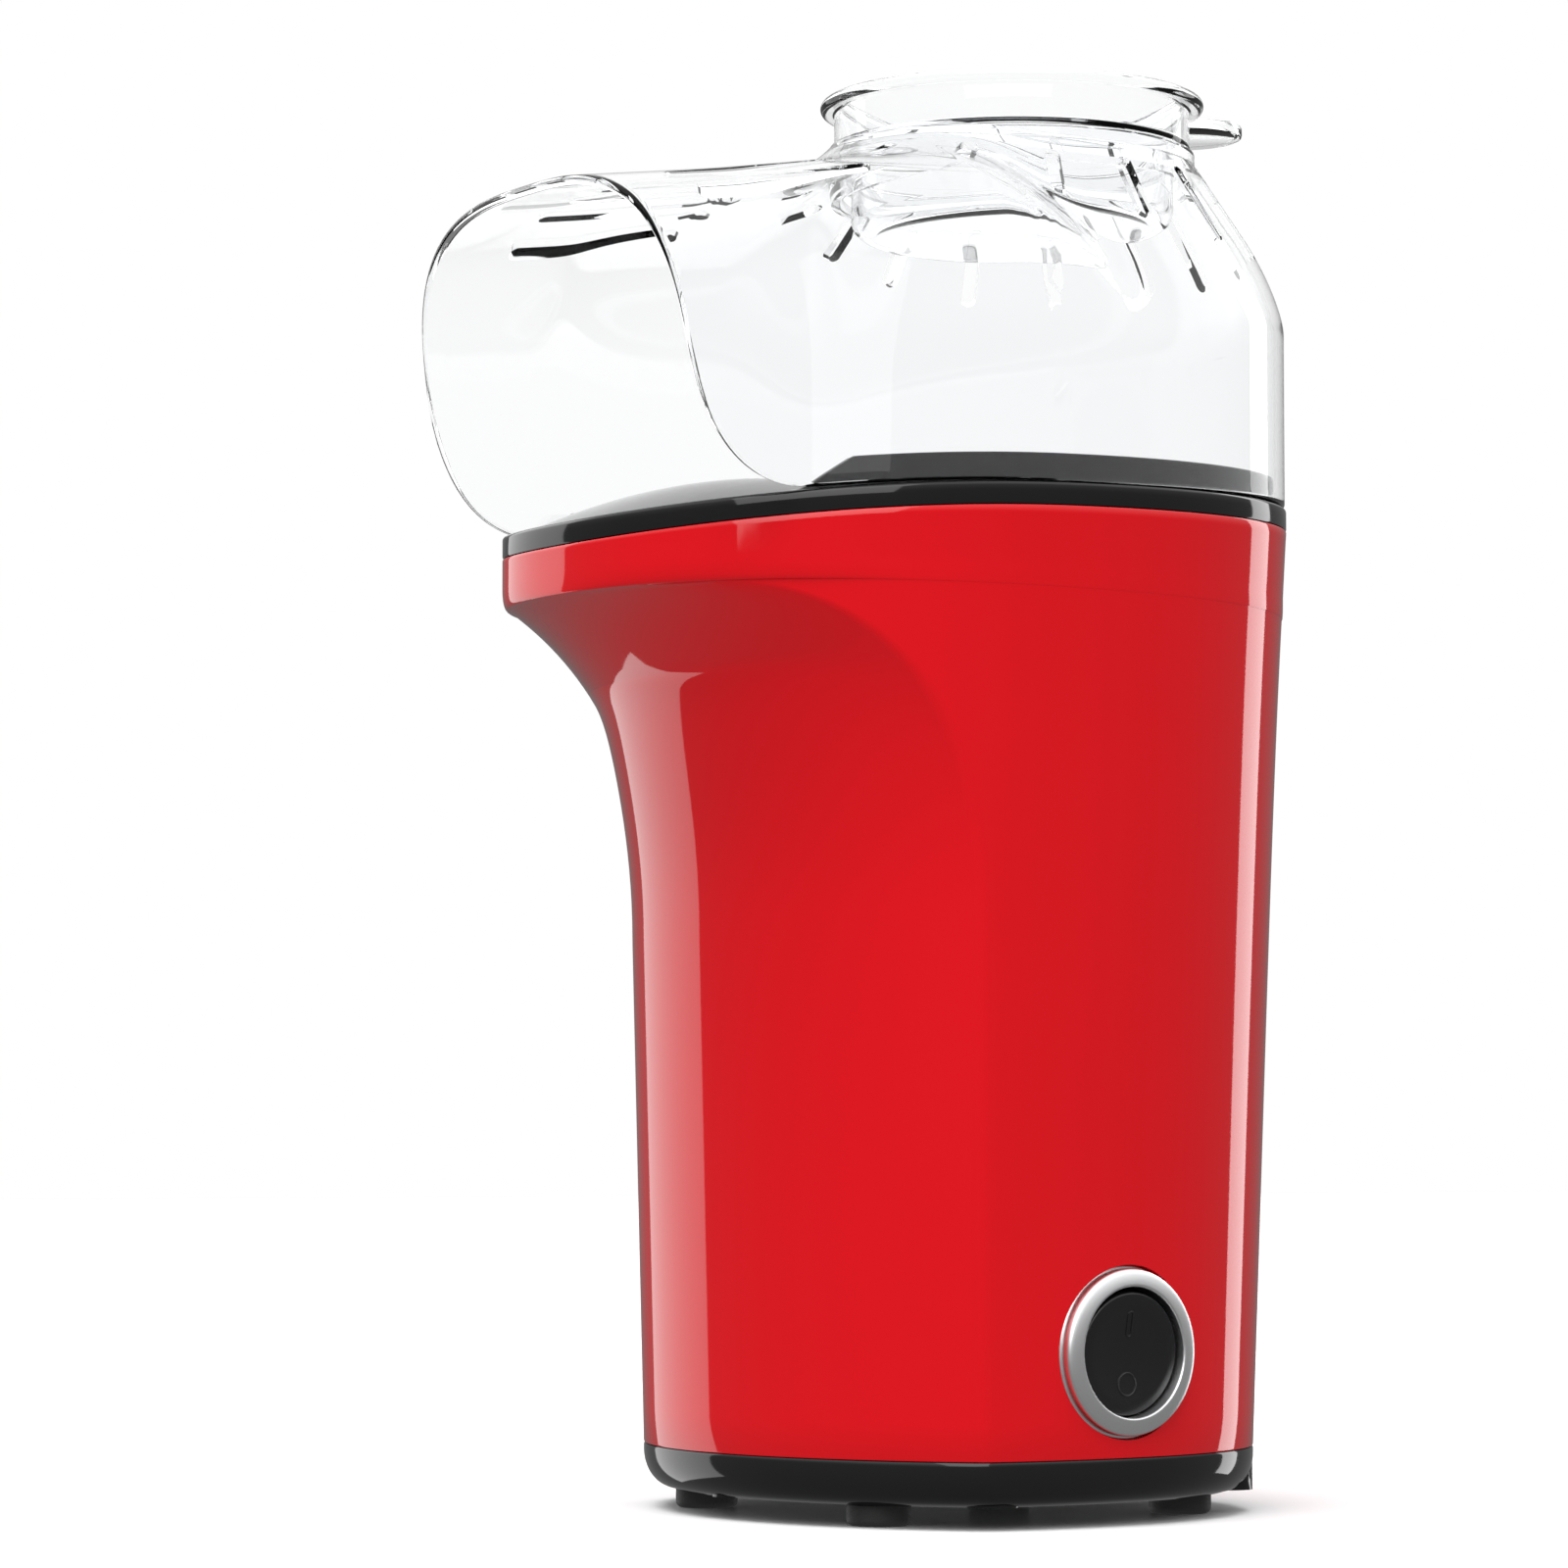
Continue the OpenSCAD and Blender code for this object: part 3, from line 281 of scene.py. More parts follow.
def joined(name: str, things: Sequence[Object]) -> Object:
    """One object that holds the meshes of several, each a closed body of its own.

    Args:
        name: The new object's name.
        things: The objects, which are deleted.

    Returns:
        The new object, with all their finishes.
    """
    made = bmesh.new()
    materials: List[Material] = []
    for thing in things:
        shift = []
        for material in thing.data.materials:
            if material not in materials:
                materials.append(material)
            shift.append(materials.index(material))
        before = len(made.faces)
        made.from_mesh(thing.data)
        made.faces.ensure_lookup_table()
        for face in made.faces[before:]:
            face.material_index = shift[min(face.material_index, len(shift) - 1)]
    mesh = bpy.data.meshes.new(name)
    made.to_mesh(mesh)
    made.free()
    for material in materials:
        mesh.materials.append(material)
    for thing in things:
        bpy.data.objects.remove(thing)
    result = bpy.data.objects.new(name, mesh)
    bpy.context.scene.collection.objects.link(result)
    return result


def shade(thing: Object, sharp: float = 32.0) -> Object:
    """Smooth shading with edges kept crisp past an angle in degrees."""
    mesh = thing.data
    mesh.polygons.foreach_set("use_smooth", np.ones(len(mesh.polygons), dtype=bool))
    mesh.set_sharp_from_angle(angle=math.radians(sharp))
    mesh.update()
    return thing


def settle(thing: Object, body: str, slot: str, *nodes: str) -> Object:
    """Rides a finished piece on its body, in place of the solids that it stands for.

    Args:
        thing: The piece.
        body: Name of the body that carries it.
        slot: The record's material slot; not used.
        nodes: The solids that it replaces.

    Returns:
        The piece.
    """
    shade(thing)
    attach(thing, body)
    if nodes:
        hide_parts(*nodes)
    log.info("%s: %d faces on %s", thing.name, len(thing.data.polygons), body)
    return thing


# ---------------------------------------------------------------- repeated shapes


class RowTree:
    """Geometry Nodes that repeat a shape along a line, round an axis, or both."""

    name = "repeat_in_a_row"

    def __init__(self) -> None:
        """Builds the tree once."""
        tree = bpy.data.node_groups.new(self.name, "GeometryNodeTree")
        face = tree.interface
        face.new_socket(name="Geometry", in_out="INPUT", socket_type="NodeSocketGeometry")
        self.inputs: Dict[str, str] = {}
        for label, kind in (("Count", "NodeSocketInt"), ("Pitch", "NodeSocketVector"), ("Turn", "NodeSocketFloat"),
                            ("Axis Point", "NodeSocketVector"), ("Rounding", "NodeSocketFloat"),
                            ("Finish", "NodeSocketMaterial")):
            self.inputs[label] = face.new_socket(name=label, in_out="INPUT", socket_type=kind).identifier
        face.new_socket(name="Geometry", in_out="OUTPUT", socket_type="NodeSocketGeometry")
        nodes, links = tree.nodes, tree.links
        given, out = nodes.new("NodeGroupInput"), nodes.new("NodeGroupOutput")
        line = nodes.new("GeometryNodeMeshLine")
        line.mode = "OFFSET"
        links.new(given.outputs["Count"], line.inputs["Count"])
        links.new(given.outputs["Pitch"], line.inputs["Offset"])
        place = nodes.new("GeometryNodeInstanceOnPoints")
        links.new(line.outputs["Mesh"], place.inputs["Points"])
        links.new(given.outputs["Geometry"], place.inputs["Instance"])
        number = nodes.new("GeometryNodeInputIndex")
        last = self.sum_of(nodes, links, "SUBTRACT", given.outputs["Count"], 1.0)
        share = self.sum_of(nodes, links, "DIVIDE", number.outputs["Index"], last)
        centred = self.sum_of(nodes, links, "SUBTRACT", share, 0.5)
        square = self.sum_of(nodes, links, "MULTIPLY", centred, centred)
        bent = self.sum_of(nodes, links, "MULTIPLY", square, given.outputs["Rounding"])
        rest = self.sum_of(nodes, links, "SUBTRACT", 1.0, bent)
        root = self.sum_of(nodes, links, "SQRT", rest, 0.0)
        size = nodes.new("ShaderNodeCombineXYZ")
        size.inputs["X"].default_value = size.inputs["Z"].default_value = 1.0
        links.new(root, size.inputs["Y"])
        links.new(size.outputs["Vector"], place.inputs["Scale"])
        angle = self.sum_of(nodes, links, "MULTIPLY", number.outputs["Index"], given.outputs["Turn"])
        about = nodes.new("ShaderNodeCombineXYZ")
        links.new(angle, about.inputs["Z"])
        spin = nodes.new("GeometryNodeRotateInstances")
        spin.inputs["Local Space"].default_value = False
        links.new(place.outputs["Instances"], spin.inputs["Instances"])
        links.new(about.outputs["Vector"], spin.inputs["Rotation"])
        links.new(given.outputs["Axis Point"], spin.inputs["Pivot Point"])
        real = nodes.new("GeometryNodeRealizeInstances")
        links.new(spin.outputs["Instances"], real.inputs["Geometry"])
        coat = nodes.new("GeometryNodeSetMaterial")
        links.new(real.outputs["Geometry"], coat.inputs["Geometry"])
        links.new(given.outputs["Finish"], coat.inputs["Material"])
        links.new(coat.outputs["Geometry"], out.inputs[0])
        self.tree = tree

    @staticmethod
    def sum_of(nodes: bpy.types.Nodes, links: bpy.types.NodeLinks, operation: str,
               a: Union[Socket, float], b: Union[Socket, float]) -> Socket:
        """A math node's output.

        Args:
            nodes: Where the node goes.
            links: Where its links go.
            operation: The math node's operation.
            a: First value, a socket or a plain number.
            b: Second value, a socket or a plain number.

        Returns:
            The output socket.
        """
        node = nodes.new("ShaderNodeMath")
        node.operation = operation
        for socket, value in zip(node.inputs, (a, b)):
            if isinstance(value, bpy.types.NodeSocket):
                links.new(value, socket)
            else:
                socket.default_value = value
        return node.outputs[0]

    def apply(self, thing: Object, material: Material, count: int,
              pitch: Tuple[float, float, float] = (0, 0, 0), turn: float = 0.0,
              axis: Tuple[float, float] = (0.0, 0.0), rounding: float = 0.0) -> Object:
        """Repeats an object's mesh and makes the result plain.

        Args:
            thing: The object that holds the shape.
            material: The finish of all copies.
            count: How many copies.
            pitch: Step between two copies, in millimetres.
            turn: Turn between two copies about Z, in degrees.
            axis: X and Y of the axis that they turn about, in millimetres.
            rounding: How much shorter the end copies are in Y, so that a row fills a round field.

        Returns:
            The same object with all copies.
        """
        change = thing.modifiers.new(self.name, "NODES")
        change.node_group = self.tree
        change[self.inputs["Count"]] = count
        change[self.inputs["Pitch"]] = tuple(p * MM for p in pitch)
        change[self.inputs["Turn"]] = math.radians(turn)
        change[self.inputs["Axis Point"]] = (axis[0] * MM, axis[1] * MM, 0.0)
        change[self.inputs["Rounding"]] = rounding
        change[self.inputs["Finish"]] = material
        return plain_mesh(thing)


# ---------------------------------------------------------------- shared surface effects


class Effect(Enum):
    """Shader node groups that more than one finish uses."""

    MOULDED = "moulded_skin"
    WORN = "worn_gloss"
    BRUSHED = "brushed_lines"
    MOTTLED = "mottled_tone"


class Effects:
    """Builds each shared node group once."""

    def __init__(self) -> None:
        """Builds the four groups."""
        self.groups = {
            Effect.MOULDED: self.moulded(),
            Effect.WORN: self.worn(),
            Effect.BRUSHED: self.brushed(),
            Effect.MOTTLED: self.mottled(),
        }

    @staticmethod
    def start(effect: Effect, inputs: Sequence[Tuple[str, float]],
              output: Tuple[str, str]) -> Tuple[Group, bpy.types.Node, bpy.types.Node]:
        """A new group with float inputs and one output.

        Args:
            effect: The effect that the group makes.
            inputs: Name and first value of each input.
            output: Name and socket type of the output.

        Returns:
            The group, its input node and its output node.
        """
        group = bpy.data.node_groups.new(effect.value, "ShaderNodeTree")
        for label, value in inputs:
            socket = group.interface.new_socket(name=label, in_out="INPUT", socket_type="NodeSocketFloat")
            socket.default_value = value
        group.interface.new_socket(name=output[0], in_out="OUTPUT", socket_type=output[1])
        return group, group.nodes.new("NodeGroupInput"), group.nodes.new("NodeGroupOutput")

    def moulded(self) -> Group:
        """A faint waviness with a finer grain, as a normal."""
        group, given, out = self.start(Effect.MOULDED, (("Scale", 60.0), ("Depth", 0.02), ("Grain", 0.0)),
                                       ("Normal", "NodeSocketVector"))
        nodes, links = group.nodes, group.links
        where = nodes.new("ShaderNodeTexCoord")
        wave, grain = nodes.new("ShaderNodeTexNoise"), nodes.new("ShaderNodeTexNoise")
        grain.inputs["Scale"].default_value = 2600.0
        grain.inputs["Detail"].default_value = 2.0
        links.new(where.outputs["Object"], wave.inputs["Vector"])
        links.new(where.outputs["Object"], grain.inputs["Vector"])
        links.new(given.outputs["Scale"], wave.inputs["Scale"])
        first, second = nodes.new("ShaderNodeBump"), nodes.new("ShaderNodeBump")
        first.inputs["Distance"].default_value = 0.002
        second.inputs["Distance"].default_value = 0.0002
        links.new(given.outputs["Depth"], first.inputs["Strength"])
        links.new(given.outputs["Grain"], second.inputs["Strength"])
        links.new(wave.outputs["Fac"], first.inputs["Height"])
        links.new(grain.outputs["Fac"], second.inputs["Height"])
        links.new(first.outputs["Normal"], second.inputs["Normal"])
        links.new(second.outputs["Normal"], out.inputs["Normal"])
        return group

    def worn(self) -> Group:
        """A roughness that varies softly, with a few duller smears."""
        group, given, out = self.start(Effect.WORN, (("Roughness", 0.1), ("Spread", 0.04), ("Scale", 18.0)),
                                       ("Roughness", "NodeSocketFloat"))
        nodes, links = group.nodes, group.links
        where, cloud = nodes.new("ShaderNodeTexCoord"), nodes.new("ShaderNodeTexNoise")
        cloud.inputs["Detail"].default_value = 5.0
        cloud.inputs["Roughness"].default_value = 0.62
        links.new(where.outputs["Object"], cloud.inputs["Vector"])
        links.new(given.outputs["Scale"], cloud.inputs["Scale"])
        scaled = nodes.new("ShaderNodeMath")
        scaled.operation = "MULTIPLY_ADD"
        links.new(cloud.outputs["Fac"], scaled.inputs[0])
        links.new(given.outputs["Spread"], scaled.inputs[1])
        links.new(given.outputs["Roughness"], scaled.inputs[2])
        links.new(scaled.outputs[0], out.inputs["Roughness"])
        return group

    def brushed(self) -> Group:
        """Fine lines along one direction, as a normal."""
        group, given, out = self.start(Effect.BRUSHED, (("Across", 900.0), ("Along", 12.0), ("Depth", 0.15)),
                                       ("Normal", "NodeSocketVector"))
        nodes, links = group.nodes, group.links
        where, lines = nodes.new("ShaderNodeTexCoord"), nodes.new("ShaderNodeTexNoise")
        size = nodes.new("ShaderNodeCombineXYZ")
        links.new(given.outputs["Along"], size.inputs["X"])
        links.new(given.outputs["Along"], size.inputs["Y"])
        links.new(given.outputs["Across"], size.inputs["Z"])
        stretch = nodes.new("ShaderNodeVectorMath")
        stretch.operation = "MULTIPLY"
        links.new(where.outputs["Object"], stretch.inputs[0])
        links.new(size.outputs["Vector"], stretch.inputs[1])
        links.new(stretch.outputs["Vector"], lines.inputs["Vector"])
        lines.inputs["Scale"].default_value = 1.0
        lines.inputs["Detail"].default_value = 3.0
        bump = nodes.new("ShaderNodeBump")
        bump.inputs["Distance"].default_value = 0.0002
        links.new(given.outputs["Depth"], bump.inputs["Strength"])
        links.new(lines.outputs["Fac"], bump.inputs["Height"])
        links.new(bump.outputs["Normal"], out.inputs["Normal"])
        return group

    def mottled(self) -> Group:
        """A mask that drifts between two tones."""
        group, given, out = self.start(Effect.MOTTLED, (("Scale", 30.0), ("Contrast", 1.0)),
                                       ("Mask", "NodeSocketFloat"))
        nodes, links = group.nodes, group.links
        where, cloud = nodes.new("ShaderNodeTexCoord"), nodes.new("ShaderNodeTexNoise")
        cloud.inputs["Detail"].default_value = 4.0
        links.new(where.outputs["Object"], cloud.inputs["Vector"])
        links.new(given.outputs["Scale"], cloud.inputs["Scale"])
        centred, scaled = nodes.new("ShaderNodeMath"), nodes.new("ShaderNodeMath")
        centred.operation, scaled.operation = "SUBTRACT", "MULTIPLY_ADD"
        centred.inputs[1].default_value = 0.5
        scaled.inputs[2].default_value = 0.5
        scaled.use_clamp = True
        links.new(cloud.outputs["Fac"], centred.inputs[0])
        links.new(centred.outputs[0], scaled.inputs[0])
        links.new(given.outputs["Contrast"], scaled.inputs[1])
        links.new(scaled.outputs[0], out.inputs["Mask"])
        return group


@dataclass(frozen=True)
class Finish:
    """One surface finish, made of plain settings and the shared effects."""

    slot: str
    tone: Colour
    second_tone: Colour
    roughness: float
    spread: float = 0.03
    metallic: float = 0.0
    coat: float = 0.0
    coat_roughness: float = 0.03
    clear: float = 0.0
    ior: float = 1.5
    specular: float = 0.5
    wave_scale: float = 60.0
    wave_depth: float = 0.0
    grain: float = 0.0
    lines: float = 0.0
    lines_across: float = 900.0
    tone_scale: float = 30.0
    tone_contrast: float = 1.0

    def material(self, effects: Effects) -> Material:
        """The finish as a node material."""
        made = bpy.data.materials.new(self.slot)
        made.use_nodes = True
        nodes, links = made.node_tree.nodes, made.node_tree.links
        shader = next(n for n in nodes if n.type == "BSDF_PRINCIPLED")
        fixed = {"Metallic": self.metallic, "Coat Weight": self.coat, "Coat Roughness": self.coat_roughness,
                 "Transmission Weight": self.clear, "IOR": self.ior, "Specular IOR Level": self.specular}
        for label, value in fixed.items():
            shader.inputs[label].default_value = value
        blend = nodes.new("ShaderNodeMix")
        blend.data_type = "RGBA"
        blend.inputs["A"].default_value = (*self.tone, 1.0)
        blend.inputs["B"].default_value = (*self.second_tone, 1.0)
        mask = self.placed(nodes, effects, Effect.MOTTLED, Scale=self.tone_scale, Contrast=self.tone_contrast)
        links.new(mask.outputs["Mask"], blend.inputs["Factor"])
        links.new(blend.outputs["Result"], shader.inputs["Base Color"])
        gloss = self.placed(nodes, effects, Effect.WORN, Roughness=self.roughness, Spread=self.spread, Scale=22.0)
        links.new(gloss.outputs["Roughness"], shader.inputs["Roughness"])
        if self.lines:
            skin = self.placed(nodes, effects, Effect.BRUSHED, Across=self.lines_across, Depth=self.lines)
            links.new(skin.outputs["Normal"], shader.inputs["Normal"])
        elif self.wave_depth or self.grain:
            skin = self.placed(nodes, effects, Effect.MOULDED, Scale=self.wave_scale, Depth=self.wave_depth,
                               Grain=self.grain)
            links.new(skin.outputs["Normal"], shader.inputs["Normal"])
        made.diffuse_color = (*self.tone, 1.0)
        return made

    @staticmethod
    def placed(nodes: bpy.types.Nodes, effects: Effects, effect: Effect, **values: float) -> bpy.types.Node:
        """A shared group placed in a material with its own values."""
        node = nodes.new("ShaderNodeGroup")
        node.node_tree = effects.groups[effect]
        for label, value in values.items():
            node.inputs[label].default_value = value
        return node


GLOSS_RED = Finish("housing_red", (0.640, 0.0018, 0.0070), (0.620, 0.0016, 0.0064), 0.03, spread=0.02,
                   wave_scale=34.0, wave_depth=0.004)
GLOSS_BLACK = Finish("rim_black", (0.0075, 0.0075, 0.008), (0.010, 0.010, 0.011), 0.045, spread=0.03,
                     wave_scale=50.0, wave_depth=0.004)
CLEAR = Finish("clear_plastic", (0.975, 0.978, 0.98), (0.965, 0.972, 0.978), 0.0, spread=0.012, clear=1.0,
               ior=1.3, wave_scale=26.0, wave_depth=0.004)
CHROME = Finish("switch_chrome", (0.95, 0.955, 0.965), (0.92, 0.925, 0.935), 0.32, spread=0.05, metallic=1.0,
                wave_scale=120.0, wave_depth=0.004, grain=0.04)
SATIN_BLACK = Finish("rocker_black", (0.008, 0.008, 0.0085), (0.010, 0.010, 0.011), 0.24, spread=0.05,
                     grain=0.1, wave_depth=0.004)
INNER_BLACK = Finish("inner_black", (0.025, 0.025, 0.027), (0.035, 0.035, 0.037), 0.45, spread=0.1, grain=0.3,
                     wave_depth=0.02)
RUBBER = Finish("foot_rubber", (0.012, 0.012, 0.012), (0.022, 0.021, 0.020), 0.5, spread=0.2, grain=0.5,
                wave_depth=0.03)
SCREW_STEEL = Finish("screw_steel", (0.58, 0.58, 0.60), (0.48, 0.49, 0.51), 0.3, spread=0.15, metallic=1.0,
                     grain=0.2, tone_scale=400.0)
ALUMINIUM = Finish("chamber_aluminium", (0.78, 0.79, 0.80), (0.72, 0.73, 0.75), 0.24, spread=0.12, metallic=1.0,
                   lines=0.5, lines_across=1400.0)
CAN_STEEL = Finish("can_steel", (0.60, 0.61, 0.63), (0.52, 0.53, 0.55), 0.34, spread=0.15, metallic=1.0,
                   lines=0.3, lines_across=500.0)
MICA = Finish("mica_board", (0.56, 0.46, 0.27), (0.40, 0.31, 0.17), 0.35, spread=0.25, coat=0.2, grain=0.3,
              wave_depth=0.05, tone_scale=160.0, tone_contrast=3.0)
WIRE = Finish("coil_wire", (0.30, 0.27, 0.24), (0.42, 0.34, 0.26), 0.45, spread=0.2, metallic=0.9, grain=0.4,
              tone_scale=300.0, tone_contrast=2.0)
PHENOLIC = Finish("sensor_body", (0.16, 0.09, 0.045), (0.11, 0.06, 0.03), 0.4, spread=0.15, grain=0.3,
                  wave_depth=0.03, tone_scale=200.0)
MOTOR_STEEL = Finish("motor_steel", (0.56, 0.57, 0.58), (0.47, 0.48, 0.49), 0.32, spread=0.12, metallic=1.0,
                     lines=0.3, lines_across=700.0)
BOARD_GREEN = Finish("board_green", (0.02, 0.16, 0.06), (0.015, 0.11, 0.04), 0.35, spread=0.1, coat=0.3,
                     grain=0.2, tone_scale=500.0, tone_contrast=2.0)
FINISHES = (GLOSS_RED, GLOSS_BLACK, CLEAR, CHROME, SATIN_BLACK, INNER_BLACK, RUBBER, SCREW_STEEL, ALUMINIUM,
            CAN_STEEL, MICA, WIRE, PHENOLIC, MOTOR_STEEL, BOARD_GREEN)


# ---------------------------------------------------------------- the body's plan


@dataclass(frozen=True)
class BodyPlan:
    """The oval that the housing, tray, deck and hood are all drawn from."""

    base_w: float = 130.5
    base_rear: float = 77.4
    side_reach: float = 64.0
    rim_w: float = 136.5
    rim_front: float = 81.5
    rim_rear: float = 88.3
    rim_level: float = 203.0
    rim_slope: float = 0.03
    lip_droop: float = 4.2
    pan_top: float = 13.6
    base_mid: float = 1.6
    rim_mid: float = -2.5
    power_front: float = 2.3
    power_rear: float = 2.1
    rim_flare: float = 0.13
    flare_power: float = 6.0
    axis_y: float = 30.7

    def rise(self, z: Number) -> Number:
        """Share of the way from the foot's section to the rim's."""
        up = (z - self.pan_top) / (self.rim_level - self.pan_top)
        return mix(up, signed_power(up, self.flare_power), self.rim_flare)

    def mid(self, z: Number) -> Number:
        """Y of the widest line at a height."""
        return mix(self.base_mid, self.rim_mid, self.rise(z))

    def half(self, z: Number) -> Number:
        """Half of the width at a height."""
        return mix(self.base_w, self.rim_w, self.rise(z)) / 2

    def front(self, z: Number) -> Number:
        """Reach of the oval in front of its widest line."""
        return mix(self.side_reach, self.rim_front, self.rise(z)) + self.mid(z)

    def rear(self, z: Number) -> Number:
        """Reach of the oval behind its widest line."""
        return mix(self.base_rear, self.rim_rear, self.rise(z)) - self.mid(z)

    def rim_z(self, y: Number) -> Number:
        """Height of the rim, which droops toward the lip."""
        ahead = np.maximum(0.0, -np.asarray(y, float)) / self.rim_front
        return self.rim_level + self.rim_slope * y - self.lip_droop * ahead ** 2

    def oval(self, angle: Number, z: Number, inset: float = 0.0) -> np.ndarray:
        """Points of the oval.

        Args:
            angle: Where round the oval in degrees; 0 is the front and 90 is +X.
            z: Height whose oval is used.
            inset: How far inside the outer surface.

        Returns:
            X and Y of the points.
        """
        turn = np.radians(np.asarray(angle, float))
        ahead = np.cos(turn) > 0
        power = np.where(ahead, 2 / self.power_front, 2 / self.power_rear)
        reach = np.where(ahead, self.front(z), self.rear(z)) - inset
        x = (self.half(z) - inset) * signed_power(np.sin(turn), power)
        y = self.mid(z) - reach * signed_power(np.cos(turn), power)
        return np.stack([x, y], axis=-1)

    def angle_at(self, y: float, z: float, inset: float = 0.0) -> float:
        """Oval angle where the front of the oval reaches y."""
        share = min(1.0, max(0.0, (self.mid(z) - y) / (self.front(z) - inset)))
        return math.degrees(math.acos(share ** (self.power_front / 2)))

    def half_at(self, y: Number, z: Number, inset: float = 0.0) -> Number:
        """Half width of the oval at y."""
        y = np.asarray(y, float)
        ahead = y < self.mid(z)
        power = np.where(ahead, self.power_front, self.power_rear)
        reach = np.where(ahead, self.front(z), self.rear(z)) - inset
        share = np.minimum(1.0, np.abs(y - self.mid(z)) / reach)
        return (self.half(z) - inset) * (1 - share ** power) ** (1 / power)

    def depth_inside(self, x: np.ndarray, y: np.ndarray) -> np.ndarray:
        """How far points lie inside the rim's oval.

        Args:
            x: X of the points.
            y: Y of the points.

        Returns:
            The inset whose oval passes through each point, found by halving.
        """
        low, high = np.zeros_like(x), np.full_like(x, 60.0)
        ahead = y < self.rim_mid
        power = np.where(ahead, self.power_front, self.power_rear)
        reach = np.where(ahead, self.front(self.rim_level), self.rear(self.rim_level))
        for _ in range(32):
            half = (low + high) / 2
            held = (np.abs(x) / (self.rim_w / 2 - half)) ** power \
                + (np.abs(y - self.rim_mid) / np.maximum(1e-6, reach - half)) ** power
            low, high = np.where(held < 1, half, low), np.where(held < 1, high, half)
        return low


@dataclass(frozen=True)
class Scoop:
    """The hollow front under the lip, where a cup or bowl stands."""

    plan: BodyPlan = BodyPlan()
    crease_y: float = 20.2
    scoop_z: float = 118.0
    lip_band: float = 8.0
    crease_power: float = 2.35
    crease_lean: float = 1.5
    bulge_foot: float = 27.4
    bulge_waist: float = 28.6
    bulge_lip: float = 18.0
    corner: float = 1.7
    side_count: int = 216
    front_count: int = 112
    corner_count: int = 7

    @property
    def lip_under(self) -> float:
        """Height of the lip's lower edge at its front."""
        return float(self.plan.rim_z(-self.plan.rim_front)) - self.lip_band

    def crease(self, turn: float) -> Tuple[float, float]:
        """Y and Z of the crease on its way forward to the lip."""
        t = math.radians(turn)
        power, lip = 2 / self.crease_power, self.plan.rim_front
        return (-lip + (lip - self.crease_y) * math.cos(t) ** power,
                self.scoop_z + (self.lip_under - self.scoop_z) * math.sin(t) ** power)

    def crease_foot(self, z: float) -> float:
        """Y of the crease's straight part at a height."""
        return -self.crease_y + self.crease_lean * (self.scoop_z - z) / (self.scoop_z - self.plan.pan_top)

    def bulge(self, z: float) -> float:
        """How far the front wall stands out past the creases."""
        if z < self.scoop_z:
            foot = self.plan.pan_top
            return mix(self.bulge_foot, self.bulge_waist, (z - foot) / (self.scoop_z - foot))
        share = min(1.0, (z - self.scoop_z) / (self.lip_under - self.scoop_z) / 0.75)
        return mix(self.bulge_waist, self.bulge_lip, share ** 4)

    def section(self, z: float, y: float, inset: float = 0.0, whole: bool = False,
                corner: Optional[float] = None) -> np.ndarray:
        """One section with its two creases rounded.

        Args:
            z: Height whose oval is used.
            y: Place of the crease.
            inset: How far inside the outer surface.
            whole: True for the whole oval without the scoop.
            corner: Length that the rounding takes off each side of a crease.

        Returns:
            X and Y of points that match from section to section.
        """
        corner = self.corner if corner is None else corner
        start = self.plan.angle_at(y + inset, z, inset)
        side = self.plan.oval(np.linspace(start, 360 - start, 900), z, inset)
        if whole:
            front = self.plan.oval(np.linspace(-start, start, 500), z, inset)
        else:
            x, depth = side[0, 0], self.bulge(z)
            radius = (x * x + depth * depth) / (2 * depth)
            turns = np.linspace(-1, 1, 500) * math.atan2(x, radius - depth)
            front = np.stack([radius * np.sin(turns), side[0, 1] - depth + radius - radius * np.cos(turns)], axis=1)
        a = resample(side, corner, corner, self.side_count)
        b = resample(front, corner, corner, self.front_count)
        return np.concatenate([a, self.rounded(a[-1], side[-1], b[0]), b, self.rounded(b[-1], side[0], a[0])])

    def rounded(self, start: np.ndarray, tip: np.ndarray, end: np.ndarray) -> np.ndarray:
        """Points of the curve that rounds a crease, without its ends."""
        t = np.linspace(0, 1, self.corner_count + 2)[1:-1, None]
        return start * (1 - t) ** 2 + tip * 2 * t * (1 - t) + end * t ** 2


def at_height(points: np.ndarray, z: Number) -> np.ndarray:
    """Plan points lifted to one height, or to one height each."""
    return np.column_stack([points, np.broadcast_to(z, len(points))])


# ---------------------------------------------------------------- housing and tray


@dataclass
class RoundSwitchSeat:
    """Place and frame of the round switch on the right side panel."""

    plan: BodyPlan = BodyPlan()
    y: float = 14.6
    z: float = 34.6
    sink: float = 2.2
    turn: float = 6.0

    def matrix(self, lift: float = 0.0) -> Matrix:
        """The switch's frame: +Z points out of the panel, and lift moves along it."""
        x = float(self.plan.half_at(self.y, self.z)) - self.sink
        place = Matrix.Translation((x, self.y, self.z))
        return place @ Matrix.Rotation(math.radians(self.turn), 4, "Z") @ Matrix.Rotation(math.pi / 2, 4, "Y") \
            @ Matrix.Translation((0, 0, lift))


